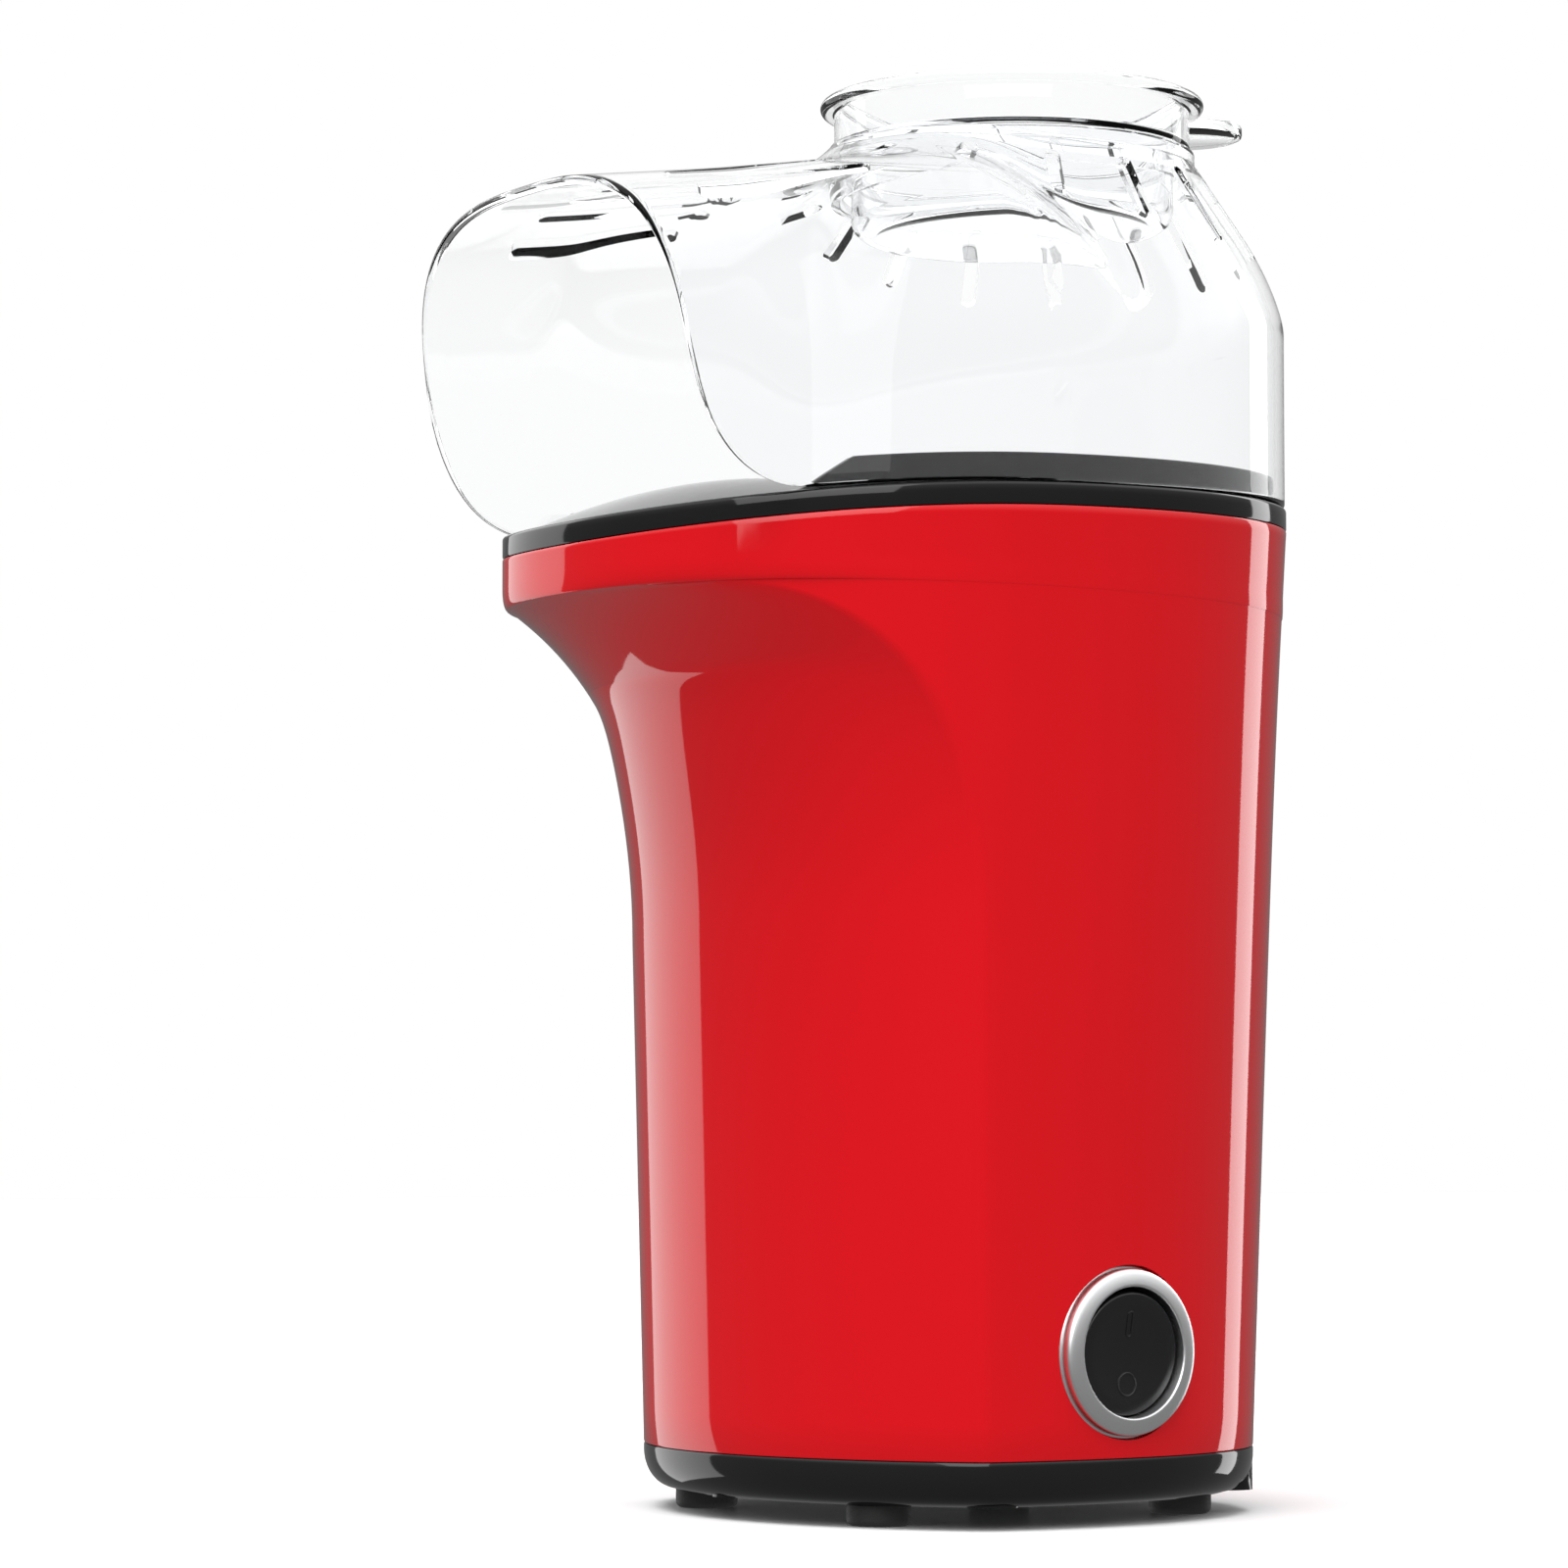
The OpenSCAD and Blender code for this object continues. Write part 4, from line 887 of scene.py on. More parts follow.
@dataclass
class Housing:
    """The red body shell with its scoop, crease and lip."""

    scoop: Scoop = Scoop()
    seat: RoundSwitchSeat = field(default_factory=RoundSwitchSeat)
    wall: float = 2.4
    lip_round: float = 2.8
    crease_end: float = 76.0
    upright_run: float = 30.0
    edge: float = 0.35
    seat_r: float = 17.4
    bore_r: float = 15.8
    seat_depth: float = 20.0
    bore_depth: float = 30.0
    grommet_r: float = 6.0
    grommet_y: float = 76.0
    grommet_z: float = 26.0

    def rim_ring(self, inset: float, down: float) -> np.ndarray:
        """A ring near the rim, a little below it."""
        plan, tip = self.scoop.plan, self.scoop.crease(self.crease_end)[0]
        points = self.scoop.section(plan.rim_level, tip, inset, whole=True)
        return at_height(points, plan.rim_z(points[:, 1]) - down)

    def lip_points(self, share: float) -> np.ndarray:
        """Plan points part of the way up the lip, whose front stands upright.

        Args:
            share: 0 at the lip's lower edge and 1 at the rim.

        Returns:
            X and Y of the points.
        """
        scoop, plan = self.scoop, self.scoop.plan
        tip = scoop.crease(self.crease_end)[0]
        points = scoop.section(mix(scoop.lip_under + self.lip_round, plan.rim_level, share), tip, whole=True)
        ahead = np.clip((tip + self.upright_run - points[:, 1]) / self.upright_run, 0, 1)[:, None]
        return mix(points, scoop.section(plan.rim_level, tip, whole=True), ahead * ahead * (3 - 2 * ahead))

    def outer_rings(self) -> List[np.ndarray]:
        """Rings of the outside from the foot to the rim."""
        scoop, plan = self.scoop, self.scoop.plan
        foot, rings = plan.pan_top, []
        for inset, up in ((self.edge, 0.0), (self.edge * 0.3, self.edge * 0.3)):
            rings.append(at_height(scoop.section(foot, scoop.crease_foot(foot), inset), foot + up))
        for z in np.linspace(foot + self.edge, scoop.scoop_z, 16):
            rings.append(at_height(scoop.section(z, scoop.crease_foot(z)), z))
        for turn in np.linspace(0, self.crease_end, 30)[1:]:
            y, z = scoop.crease(turn)
            rings.append(at_height(scoop.section(z, y), z))
        low, tip = rings[-1], scoop.crease(self.crease_end)[0]
        band = at_height(self.lip_points(0.0), scoop.lip_under + self.lip_round)
        for out, back in quarter(9):
            ring = mix(low, band, out ** 0.8)
            ring[:, 2] = mix(low[:, 2], band[:, 2], (1 - back) ** 1.25)
            rings.append(ring)
        rings.append(band)
        for share in (0.15, 0.35, 0.6, 0.85):
            points = self.lip_points(share)
            rings.append(at_height(points, mix(band[0, 2], plan.rim_z(points[:, 1]), share)))
        rings += [self.rim_ring(0.0, self.edge), self.rim_ring(self.edge * 0.3, self.edge * 0.3),
                  self.rim_ring(self.edge, 0.0)]
        return rings

    def inner_rings(self) -> List[np.ndarray]:
        """Rings of the inside from the rim to the foot."""
        scoop, plan, wall = self.scoop, self.scoop.plan, self.wall
        tip = scoop.crease(self.crease_end)[0]
        rings = [self.rim_ring(wall, 0.0)]
        points = scoop.section(scoop.lip_under, tip, wall, whole=True)
        rings.append(at_height(points, scoop.lip_under + self.lip_round + wall))
        for turn in (self.crease_end, 67, 58, 48, 38, 27, 14, 0):
            y, z = scoop.crease(turn)
            lifted = z + wall * math.sin(math.radians(turn))
            rings.append(at_height(scoop.section(lifted, y, wall), lifted))
        for z in (66.0, plan.pan_top):
            rings.append(at_height(scoop.section(z, scoop.crease_foot(z), wall), z))
        return rings

    def build(self, red: Material, black: Material) -> Object:
        """The shell, with the switch's seat and the grommet's hole."""
        points, faces = closed_grid(self.outer_rings() + self.inner_rings())
        shell = object_from("housing_shell", points, faces, red)
        pocket = turned("pocket", rod(self.seat_r, 0, self.seat_depth), red, 128, self.seat.matrix())
        bore = turned("bore", rod(self.bore_r, -self.bore_depth, self.seat_depth / 2), black, 96, self.seat.matrix())
        across = Matrix.Translation((0, self.grommet_y, self.grommet_z)) @ Matrix.Rotation(math.pi / 2, 4, "X")
        hole = turned("hole", rod(self.grommet_r, -self.bore_depth, self.bore_depth), red, 64, across)
        combine(shell, [pocket, bore, hole])
        return settle(shell, "machine", "housing_red", "housing")


@dataclass
class CordGrommet:
    """The rubber ring that lines the cord's hole at the back."""

    plan: BodyPlan = BodyPlan()
    z: float = 26.0
    r: float = 6.0
    bore_r: float = 3.4
    flange_r: float = 8.0
    stands_out: float = 0.9
    reach_in: float = 5.4
    lock_r: float = 7.4
    lock_t: float = 2.2

    def build(self, rubber: Material) -> Object:
        """The grommet in place of its solid."""
        line = [(self.bore_r, 0.4), (self.bore_r + 0.4, 0.0)]
        line += [(self.lock_r - 0.4, 0.0), (self.lock_r, 0.4), (self.lock_r, self.lock_t), (self.r, self.lock_t)]
        deep, tip = self.reach_in - 0.3, self.reach_in + self.stands_out
        out, bore = self.flange_r, self.bore_r
        line += [(self.r, deep), (out, deep), (out, tip - 0.5), (out - 0.15, tip - 0.15), (out - 0.5, tip),
                 (bore + 0.6, tip), (bore + 0.15, tip - 0.15), (bore, tip - 0.6)]
        back = float(self.plan.mid(self.z) + self.plan.rear(self.z))
        place = Matrix.Translation((0, back - self.reach_in, self.z)) @ Matrix.Rotation(-math.pi / 2, 4, "X")
        return settle(turned("cord_grommet_ring", line, rubber, 96, place), "machine", "foot_rubber", "cord_grommet")


@dataclass
class BaseTray:
    """The black tray that closes the foot of the housing."""

    scoop: Scoop = Scoop()
    foot_z: float = 4.4
    height: float = 9.2
    edge_inset: float = 5.0
    band_share: float = 0.85
    floor: float = 2.2
    wall: float = 3.6
    vent_count: int = 9
    vent_w: float = 3.0
    vent_pitch: float = 5.0
    vent_reach: float = 22.0
    vent_depth: float = 8.0
    boss_inset: float = 9.1
    boss_r: float = 5.5
    recess_r: float = 3.5
    recess: float = 4.0

    def ring(self, inset: float, z: float) -> np.ndarray:
        """A ring of the tray's plan."""
        foot = self.scoop.plan.pan_top
        return at_height(self.scoop.section(foot, self.scoop.crease_foot(foot), inset), z)

    def boss_spots(self) -> Line:
        """Places of the five housing screws."""
        plan, foot = self.scoop.plan, self.scoop.plan.pan_top
        spots = [(side * (float(plan.half_at(y, foot)) - self.boss_inset), y)
                 for y in (-12.0, plan.base_rear - 15.4) for side in (-1, 1)]
        return spots + [(0.0, self.scoop.crease_foot(foot) - self.scoop.bulge_foot + self.boss_inset)]

    def build(self, black: Material, row: RowTree) -> Object:
        """The tray, with its air slots and its screw recesses."""
        top, rings = self.foot_z + self.height, []
        bottom = self.ring(self.edge_inset + 0.6, self.foot_z)
        centre = np.array([0.0, self.scoop.plan.axis_y, self.foot_z])
        for share in (0.3, 0.6, 0.85):
            rings.append(mix(centre, bottom, share))
        rings.append(bottom)
        for share in np.linspace(0.0, self.band_share, 15) ** 1.25 / self.band_share ** 0.25:
            part = 1 - share / self.band_share
            inset = self.edge_inset * (1 - math.sqrt(max(0.0, 1 - part * part)))
            rings.append(self.ring(inset, self.foot_z + 0.25 + share * (self.height - 0.25)))
        rings += [self.ring(0.0, top - 0.45), self.ring(0.12, top - 0.14), self.ring(0.45, top)]
        rings += [self.ring(self.wall, top), self.ring(self.wall, self.foot_z + 5.5),
                  self.ring(7.5, self.foot_z + 5.2), self.ring(7.5, self.foot_z + self.floor)]
        lid = centre + np.array([0.0, 0.0, self.floor])
        for share in (0.8, 0.6, 0.6):
            rings.append(mix(lid, rings[-1], share))
        tray = object_from("base_tray", *poled_grid(rings, centre, lid), black)
        spots = [Matrix.Translation((x, y, 0)) for x, y in self.boss_spots()]
        posts = [turned(f"post_{i}", rod(self.boss_r, self.foot_z, top - 0.2), black, 40, spot)
                 for i, spot in enumerate(spots)]
        combine(tray, posts, "UNION")
        field_half = (self.vent_count - 1) / 2 * self.vent_pitch
        first = Matrix.Translation((-field_half, 0, 0)) @ Matrix.Rotation(math.pi / 2, 4, "Z")
        slot = capsule_cutter("slot", 2 * self.vent_reach, self.vent_w, self.vent_depth, first, black)
        row.apply(slot, black, self.vent_count, pitch=(self.vent_pitch, 0, 0),
                  rounding=4 * (field_half / self.vent_reach) ** 2)
        slot.data.transform(Matrix.Translation((0, self.scoop.plan.axis_y * MM, (self.foot_z + 1) * MM)))
        wells = [turned(f"well_{i}", rod(self.recess_r, self.foot_z - 1, self.foot_z + self.recess), black, 40, spot)
                 for i, spot in enumerate(spots)]
        combine(tray, [slot] + wells)
        return settle(tray, "machine", "rim_black", "base_pan")


@dataclass
class RubberFeet:
    """The four round feet under the tray."""

    radius: float = 6.5
    height: float = 4.4
    pitch_x: float = 67.6
    front_y: float = -24.7
    rear_y: float = 48.9
    edge: float = 1.3
    hole_r: float = 1.7
    well_r: float = 3.3
    well: float = 2.2

    def outline(self) -> Line:
        """Half section of a foot with its rounded lower edge."""
        r, h, e = self.radius, self.height, self.edge
        line = [(self.hole_r, self.well), (self.well_r, self.well), (self.well_r, 0.2), (self.well_r + 0.2, 0.0)]
        line += [(r - e, 0.0)] + [(r - e + e * s, e - e * c) for s, c in quarter(6)] + [(r, e)]
        return line + [(r, h - 0.2), (r - 0.2, h), (self.hole_r, h)]

    def build(self, rubber: Material) -> None:
        """Makes each foot in place of its solid."""
        names = (("foot_front_left", -1, self.front_y), ("foot_front_right", 1, self.front_y),
                 ("foot_rear_left", -1, self.rear_y), ("foot_rear_right", 1, self.rear_y))
        for node, side, y in names:
            place = Matrix.Translation((side * self.pitch_x / 2, y, 0))
            settle(turned("rubber_" + node, self.outline(), rubber, 72, place), "machine", "foot_rubber", node)


# ---------------------------------------------------------------- deck


@dataclass
class Deck:
    """The black top with its band, its collar round the hood and the basin for the chamber."""

    plan: BodyPlan = BodyPlan()
    columns: int = 360
    band_h: float = 4.7
    gap: float = 0.1
    edge: float = 0.75
    ledge: float = 2.6
    crest_z: float = 210.5
    crest_inset: float = 30.0
    crest_power: float = 1.4
    collar_inset: float = 2.7
    collar_t: float = 2.2
    collar_h: float = 6.0
    collar_front: float = -45.0
    collar_ramp: float = 11.0
    basin_z: float = 206.8
    basin_front: float = -44.0
    basin_slope: float = 8.0
    hole_r: float = 38.4
    thickness: float = 2.3
    skirt_inset: float = 2.75
    skirt_t: float = 1.6
    skirt_h: float = 3.0

    def crown(self, points: np.ndarray) -> np.ndarray:
        """Height of the deck without its collar and basin."""
        plan = self.plan
        inside = plan.depth_inside(points[:, 0], points[:, 1])
        ahead = points[:, 1] < plan.rim_mid
        reach = np.where(ahead, plan.front(plan.rim_level), plan.rear(plan.rim_level))
        edge_y = plan.rim_mid + (points[:, 1] - plan.rim_mid) * reach / np.maximum(1e-6, reach - inside)
        share = np.clip((inside - self.ledge) / (self.crest_inset - self.ledge), 0, 1)
        up = 1 - (1 - share) ** self.crest_power
        return mix(plan.rim_z(edge_y) + self.band_h, self.crest_z, up)

    def collar(self, y: np.ndarray) -> np.ndarray:
        """Height of the collar's top, which ramps down at its two front ends."""
        plan, back = self.plan, self.collar_front
        front = back - self.collar_ramp
        foot = float(plan.rim_z(front)) + self.band_h - 1.0
        top = plan.rim_z(y) + self.band_h + self.collar_h
        ramp = mix(foot, float(plan.rim_z(back)) + self.band_h + self.collar_h, (y - front) / self.collar_ramp)
        return np.where(y > back, top, ramp)

    def basin(self, y: np.ndarray) -> np.ndarray:
        """Height of the basin's floor and of its slope in front."""
        share = np.clip((self.basin_front - y) / self.basin_slope, 0, 1)
        return np.where(y < self.basin_front - self.basin_slope, 999.0, mix(self.basin_z, self.crest_z + 1, share))

    def floor(self, points: np.ndarray) -> np.ndarray:
        """Height of the deck inside the collar."""
        return np.minimum(self.crown(points), self.basin(points[:, 1]))

    def rings(self) -> List[np.ndarray]:
        """All rings round the deck's closed section."""
        plan, level = self.plan, self.plan.rim_level
        turns = np.linspace(0, 360, self.columns, endpoint=False)

        def plan_ring(inset: float) -> np.ndarray:
            """The rim's oval at an inset."""
            return plan.oval(turns, level, inset)

        def on_rim(inset: float, lift: float) -> np.ndarray:
            """A ring at a height above the rim line."""
            points = plan_ring(inset)
            return at_height(points, plan.rim_z(points[:, 1]) + lift)

        rings = [on_rim(self.skirt_inset, -self.skirt_h), on_rim(self.skirt_inset, self.gap), on_rim(0.4, self.gap),
                 on_rim(0.12, self.gap + 0.1), on_rim(0.0, self.gap + 0.4)]
        top, e = self.band_h, self.edge
        rings += [on_rim(0.0, top - e)] + [on_rim(e - e * c, top - e + e * s) for s, c in quarter(4)] \
            + [on_rim(e, top)]
        edge = plan_ring(0.0)
        for inset in (1.4, 2.1):
            points = plan_ring(inset)
            rings.append(at_height(points, plan.rim_z(edge[:, 1]) + self.band_h))
        start, end, e = self.collar_inset, self.collar_inset + self.collar_t, 0.6
        for inset, drop in ((start - 0.05, None), (start, 3.6), (start, 1.8)):
            points = plan_ring(inset)
            low = self.crown(points)
            height = low if drop is None else np.maximum(low, self.collar(points[:, 1]) - drop)
            rings.append(at_height(points, height))
        for inset, drop in [(start, e)] + [(start + e - e * c, e - e * s) for s, c in quarter(4)] \
                + [(start + e, 0.0), (end - e, 0.0)] + [(end - e + e * s, e - e * c) for s, c in quarter(4)] \
                + [(end, e), (end, 1.8), (end, 3.6)]:
            points = plan_ring(inset)
            rings.append(at_height(points, np.maximum(self.crown(points), self.collar(points[:, 1]) - drop)))
        points = plan_ring(end + 0.02)
        rings.append(at_height(points, self.floor(points)))
        turn = np.arctan2(points[:, 1] - plan.axis_y, points[:, 0])
        hole = np.stack([self.hole_r * np.cos(turn), plan.axis_y + self.hole_r * np.sin(turn)], axis=1)
        for share in np.linspace(0, 1, 62)[1:-1]:
            inner = mix(points, hole, share)
            rings.append(at_height(inner, self.floor(inner)))
        for out, down in ((0.5, 0.0), (0.15, 0.12), (0.0, 0.5), (0.0, self.thickness)):
            grown = hole + np.stack([np.cos(turn), np.sin(turn)], axis=1) * out
            rings.append(at_height(grown, self.floor(hole + 0.01) - down))
        for share in (0.8, 0.6, 0.4, 0.2):
            inner = mix(points, hole, share)
            rings.append(at_height(inner, self.floor(inner) - self.thickness))
        inner = plan_ring(self.skirt_inset + self.skirt_t)
        rings.append(at_height(inner, self.crown(inner) - self.thickness - 0.6))
        rings.append(on_rim(self.skirt_inset + self.skirt_t, -self.skirt_h))
        return rings

    def build(self, black: Material) -> Object:
        """The deck in place of its solid."""
        deck = object_from("deck_top", *closed_grid(self.rings()), black)
        return settle(deck, "machine", "rim_black", "top_deck")


# ---------------------------------------------------------------- hood and cup


@dataclass
class ClearHood:
    """The clear dome that runs into the chute, with its mouth, air slots and neck."""

    plan: BodyPlan = BodyPlan()
    columns: int = 372
    rows: int = 84
    thickness: float = 2.0
    inset: float = 0.3
    band_h: float = 4.7
    lift: float = 0.3
    neck_seam: float = 283.5
    neck_top: float = 286.5
    neck_r: float = 38.9
    neck_lip_r: float = 34.75
    neck_wall: float = 2.0
    cone_slope: float = 1.545
    shoulder_r: float = 8.0
    spring_z: float = 225.0
    arch_power: float = 2.9
    mouth_w: float = 110.0
    mouth_reach: float = 88.3
    mouth_drop: float = 10.5
    roof_step: float = 3.9
    roof_fade_y: float = -8.0
    roof_fade: float = 5.2
    blend: float = 12.0
    chute_join: float = -60.0
    chute_end: float = -94.0
    leg_turn: Tuple[float, float] = (-80.3, 229.0)
    leg_corner_y: float = -74.2
    leg_root_y: float = -54.0
    vent_pitch: float = 22.5
    vent_w: float = 3.2
    vent_start: float = 2.2
    vent_depth: float = 14.0
    vent_reaches: Tuple[float, ...] = (13.5, 13.5, 13.5, 13.0, 11.0, 9.0, 8.0, 8.0)
    slot_pitch: float = 13.0
    slot_count: int = 7
    slot_length: float = 40.0
    slot_front: float = -70.0
    slot_z: float = 275.0
    slot_depth: float = 60.0

    def half(self, y: Number, inset: float) -> Number:
        """Half width of the hood's walls at y."""
        round_wall = self.plan.half_at(y, self.plan.rim_level, self.inset + inset)
        straight = soft_max(round_wall, self.mouth_w / 2 - inset, 3.0)
        return np.where(np.asarray(y) > self.plan.rim_mid, round_wall, straight)

    def edge(self, inset: float) -> np.ndarray:
        """Dense plan line of the walls, open at the end of the chute's cap."""
        level = self.plan.rim_level
        start = self.plan.angle_at(self.chute_join, level, self.inset + inset)
        oval = self.plan.oval(np.linspace(start, 360 - start, 1200), level, self.inset + inset)
        oval[:, 0] = np.sign(oval[:, 0]) * self.half(oval[:, 1], inset)
        down = np.linspace(self.chute_join, self.chute_end, 200)[1:]
        left = np.stack([-self.half(down, inset), down], axis=1)
        across = np.linspace(left[-1, 0], -left[-1, 0], 300)[1:-1]
        cap = np.stack([across, np.full(len(across), self.chute_end)], axis=1)
        right = left[::-1] * np.array([-1.0, 1.0])
        return np.concatenate([oval, left, cap, right, oval[:1]])

    def roof(self, x: Number, y: Number, inset: float) -> Number:
        """Height of the chute's arched roof."""
        fade = (np.maximum(0.0, y - self.roof_fade_y) / self.roof_fade) ** 2
        line = self.neck_seam - self.roof_step - fade \
            - self.mouth_drop * (self.roof_fade_y - y) / (self.roof_fade_y + self.mouth_reach)
        share = np.minimum(1.0, np.abs(x) / self.half(y, inset))
        arch = (1 - share ** self.arch_power) ** (1 / self.arch_power)
        return self.spring_z + (line - inset - self.spring_z) * arch

    def dome(self, out: Number, wall: Number, inset: float) -> Number:
        """Height of the dome at a distance out from the neck's axis."""
        cone = self.neck_seam - self.cone_slope * (out - self.neck_r) - inset * math.hypot(1, self.cone_slope)
        r = self.shoulder_r
        inward = np.clip(r - (wall - out), 0, r)
        return cone - r + np.sqrt(r * r - inward * inward)

    def lowest(self, y: np.ndarray) -> np.ndarray:
        """Lowest height that the hood keeps at y: its foot, its mouth's curve and its mouth."""
        def foot(at: float) -> float:
            """Height of the hood's foot line."""
            return float(self.plan.rim_z(at)) + self.band_h + self.lift
        t = np.linspace(0, 1, 80)[:, None]
        start, end = np.array(self.leg_turn), np.array([self.leg_root_y, foot(self.leg_root_y)])
        pull = np.array([self.leg_corner_y, foot(self.leg_corner_y) + 1.2])
        curve = start * (1 - t) ** 2 + pull * 2 * t * (1 - t) + end * t ** 2
        top = (-self.mouth_reach, self.neck_seam - self.roof_step - self.mouth_drop)
        low = np.interp(y, np.concatenate([[top[0]], curve[:, 0]]), np.concatenate([[top[1]], curve[:, 1]]))
        low = np.where(y > self.leg_root_y, self.plan.rim_z(y) + self.band_h + self.lift, low)
        return np.where(y < -self.mouth_reach, 1e4, low)

    def column(self, edge: np.ndarray, inset: float, stop: float) -> np.ndarray:
        """Points up one ray of the surface, from the trimmed edge to the neck.

        Args:
            edge: Plan point of the wall.
            inset: 0 for the outside or the thickness for the inside.
            stop: Distance from the neck's axis where the column ends.

        Returns:
            Evenly spaced points.
        """
        axis = np.array([0.0, self.plan.axis_y])
        wall = float(np.linalg.norm(edge - axis))
        out = mix(wall, stop, np.linspace(0, 1, 700) ** 1.7)
        flat = axis + (edge - axis) * (out / wall)[:, None]
        top = soft_max(self.roof(flat[:, 0], flat[:, 1], inset), self.dome(out, wall, inset), self.blend)
        line = at_height(flat, top)
        rise = np.linspace(190.0, top[0], 500)[:-1]
        line = np.concatenate([np.column_stack([np.tile(edge, (len(rise), 1)), rise]), line])
        over = line[:, 2] - self.lowest(line[:, 1])
        kept = int(np.nonzero(over < 0)[0][-1]) + 1
        a, b = over[kept - 1], over[kept]
        share = 0.0 if abs(a) > 5e3 else a / (a - b)
        if abs(a) > 5e3:
            share = (-self.mouth_reach - line[kept - 1, 1]) / (line[kept, 1] - line[kept - 1, 1])
        first = mix(line[kept - 1], line[kept], share)
        return resample(np.concatenate([first[None], line[kept:]]), 0.0, 0.0, self.rows)

    def rings(self) -> List[np.ndarray]:
        """Rings of the hood: outside up to the neck, through the neck, and down the inside."""
        axis = np.array([0.0, self.plan.axis_y])
        outer_edge = resample(self.edge(0.0), 0.0, 0.0, self.columns + 1)[:-1]
        inner_line = self.edge(self.thickness) - axis
        turn = np.unwrap(np.arctan2(inner_line[:, 1], inner_line[:, 0]))
        order = np.argsort(turn)
        reach = np.linalg.norm(inner_line, axis=1)
        rays = np.arctan2(outer_edge[:, 1] - axis[1], outer_edge[:, 0])
        matched = (rays - turn.min()) % (2 * math.pi) + turn.min()
        inner_reach = np.interp(matched, turn[order], reach[order])
        away = np.stack([np.cos(rays), np.sin(rays)], axis=1)
        inner_edge = axis + away * inner_reach[:, None]
        outside = np.stack([self.column(e, 0.0, self.neck_r + 0.8) for e in outer_edge], axis=1)
        inside = np.stack([self.column(e, self.thickness, self.neck_r + 0.5) for e in inner_edge], axis=1)
        outer, lower = self.rounded_edge(outside, inside)

        def neck(r: float, z: Number) -> np.ndarray:
            """A ring of the neck."""
            return at_height(axis + away * r, z)

        seam, r, top, lip = outside[-1][:, 2], self.neck_r, self.neck_top, self.neck_lip_r
        middle = [neck(r + 0.3, seam + 0.55), neck(r + 0.06, seam + 1.0), neck(r, top - 0.9), neck(r, top - 0.4),
                  neck(r - 0.12, top - 0.12), neck(r - 0.4, top), neck(lip + 0.4, top), neck(lip + 0.1, top - 0.1),
                  neck(lip, top - 0.4), neck(lip, self.neck_seam + 0.2), neck(lip + 0.2, self.neck_seam),
                  neck(r - self.neck_wall, self.neck_seam), neck(r - self.neck_wall, self.neck_seam - 4.8),
                  neck(r - self.neck_wall + 0.2, self.neck_seam - 5.0), neck(r - 0.2, self.neck_seam - 5.0)]
        return outer + middle + lower

    @staticmethod
    def rounded_edge(outside: np.ndarray, inside: np.ndarray) -> Tuple[List[np.ndarray], List[np.ndarray]]:
        """Rounds the edge where the two sides meet at the foot and round the mouth.

        Args:
            outside: Rings of the outside, from the edge to the neck.
            inside: Rings of the inside, from the edge to the neck.

        Returns:
            The outside's rings with the first half of the rounding, and the inside's with the rest.
        """
        def cut(line: np.ndarray, back: float) -> np.ndarray:
            """The line without its first stretch."""
            return np.stack([resample(line[:, j], back, 0.0, len(line)) for j in range(line.shape[1])], axis=1)
        back = 0.9
        foot = (outside[0] + inside[0]) / 2
        outer, inner = cut(outside, back), cut(inside, back)
        centre, across = (outer[0] + inner[0]) / 2, (outer[0] - inner[0]) / 2
        down = foot - centre
        bends = [centre + across * c + down * s for s, c in quarter(4)]
        turn = [centre + down]
        rest = [centre - across * c + down * s for s, c in quarter(4)][::-1]
        return turn + bends[::-1] + list(outer), list(inner[::-1]) + rest

    def cutters(self, clear: Material, row: RowTree) -> List[Object]:
        """The slots round the neck and along the chute's roof."""
        tilt = math.atan(self.cone_slope)
        centre = Matrix.Translation((0, self.plan.axis_y, 0))
        tools = []
        for i, reach in enumerate(self.vent_reaches):
            for side in ((1,) if i == 0 else (-1, 1)):
                out = self.neck_r + (self.vent_start + reach) / 2
                place = centre @ Matrix.Rotation(math.radians(90 + side * i * self.vent_pitch), 4, "Z") \
                    @ Matrix.Translation((out, 0, self.neck_seam - self.cone_slope * (out - self.neck_r))) \
                    @ Matrix.Rotation(tilt, 4, "Y")
                length = (reach - self.vent_start) / math.cos(tilt)
                tools.append(capsule_cutter(f"vent_{i}_{side}", length, self.vent_w, self.vent_depth, place, clear))
        corner = (-(self.slot_count - 1) / 2 * self.slot_pitch, self.slot_front + self.slot_length / 2, self.slot_z)
        first = Matrix.Translation(corner) @ Matrix.Rotation(math.pi / 2, 4, "Z")
        slots = capsule_cutter("roof_slots", self.slot_length, self.vent_w, self.slot_depth, first, clear)
        tools.append(row.apply(slots, clear, self.slot_count, pitch=(self.slot_pitch, 0, 0)))
        return tools

    def build(self, clear: Material, row: RowTree) -> Object:
        """The hood in place of its solid."""
        hood = object_from("clear_hood", *closed_grid(self.rings()), clear)
        tools = self.cutters(clear, row)
        combine(hood, [joined("hood_slots", tools)])
        return settle(hood, "hood", "clear_plastic", "hood")


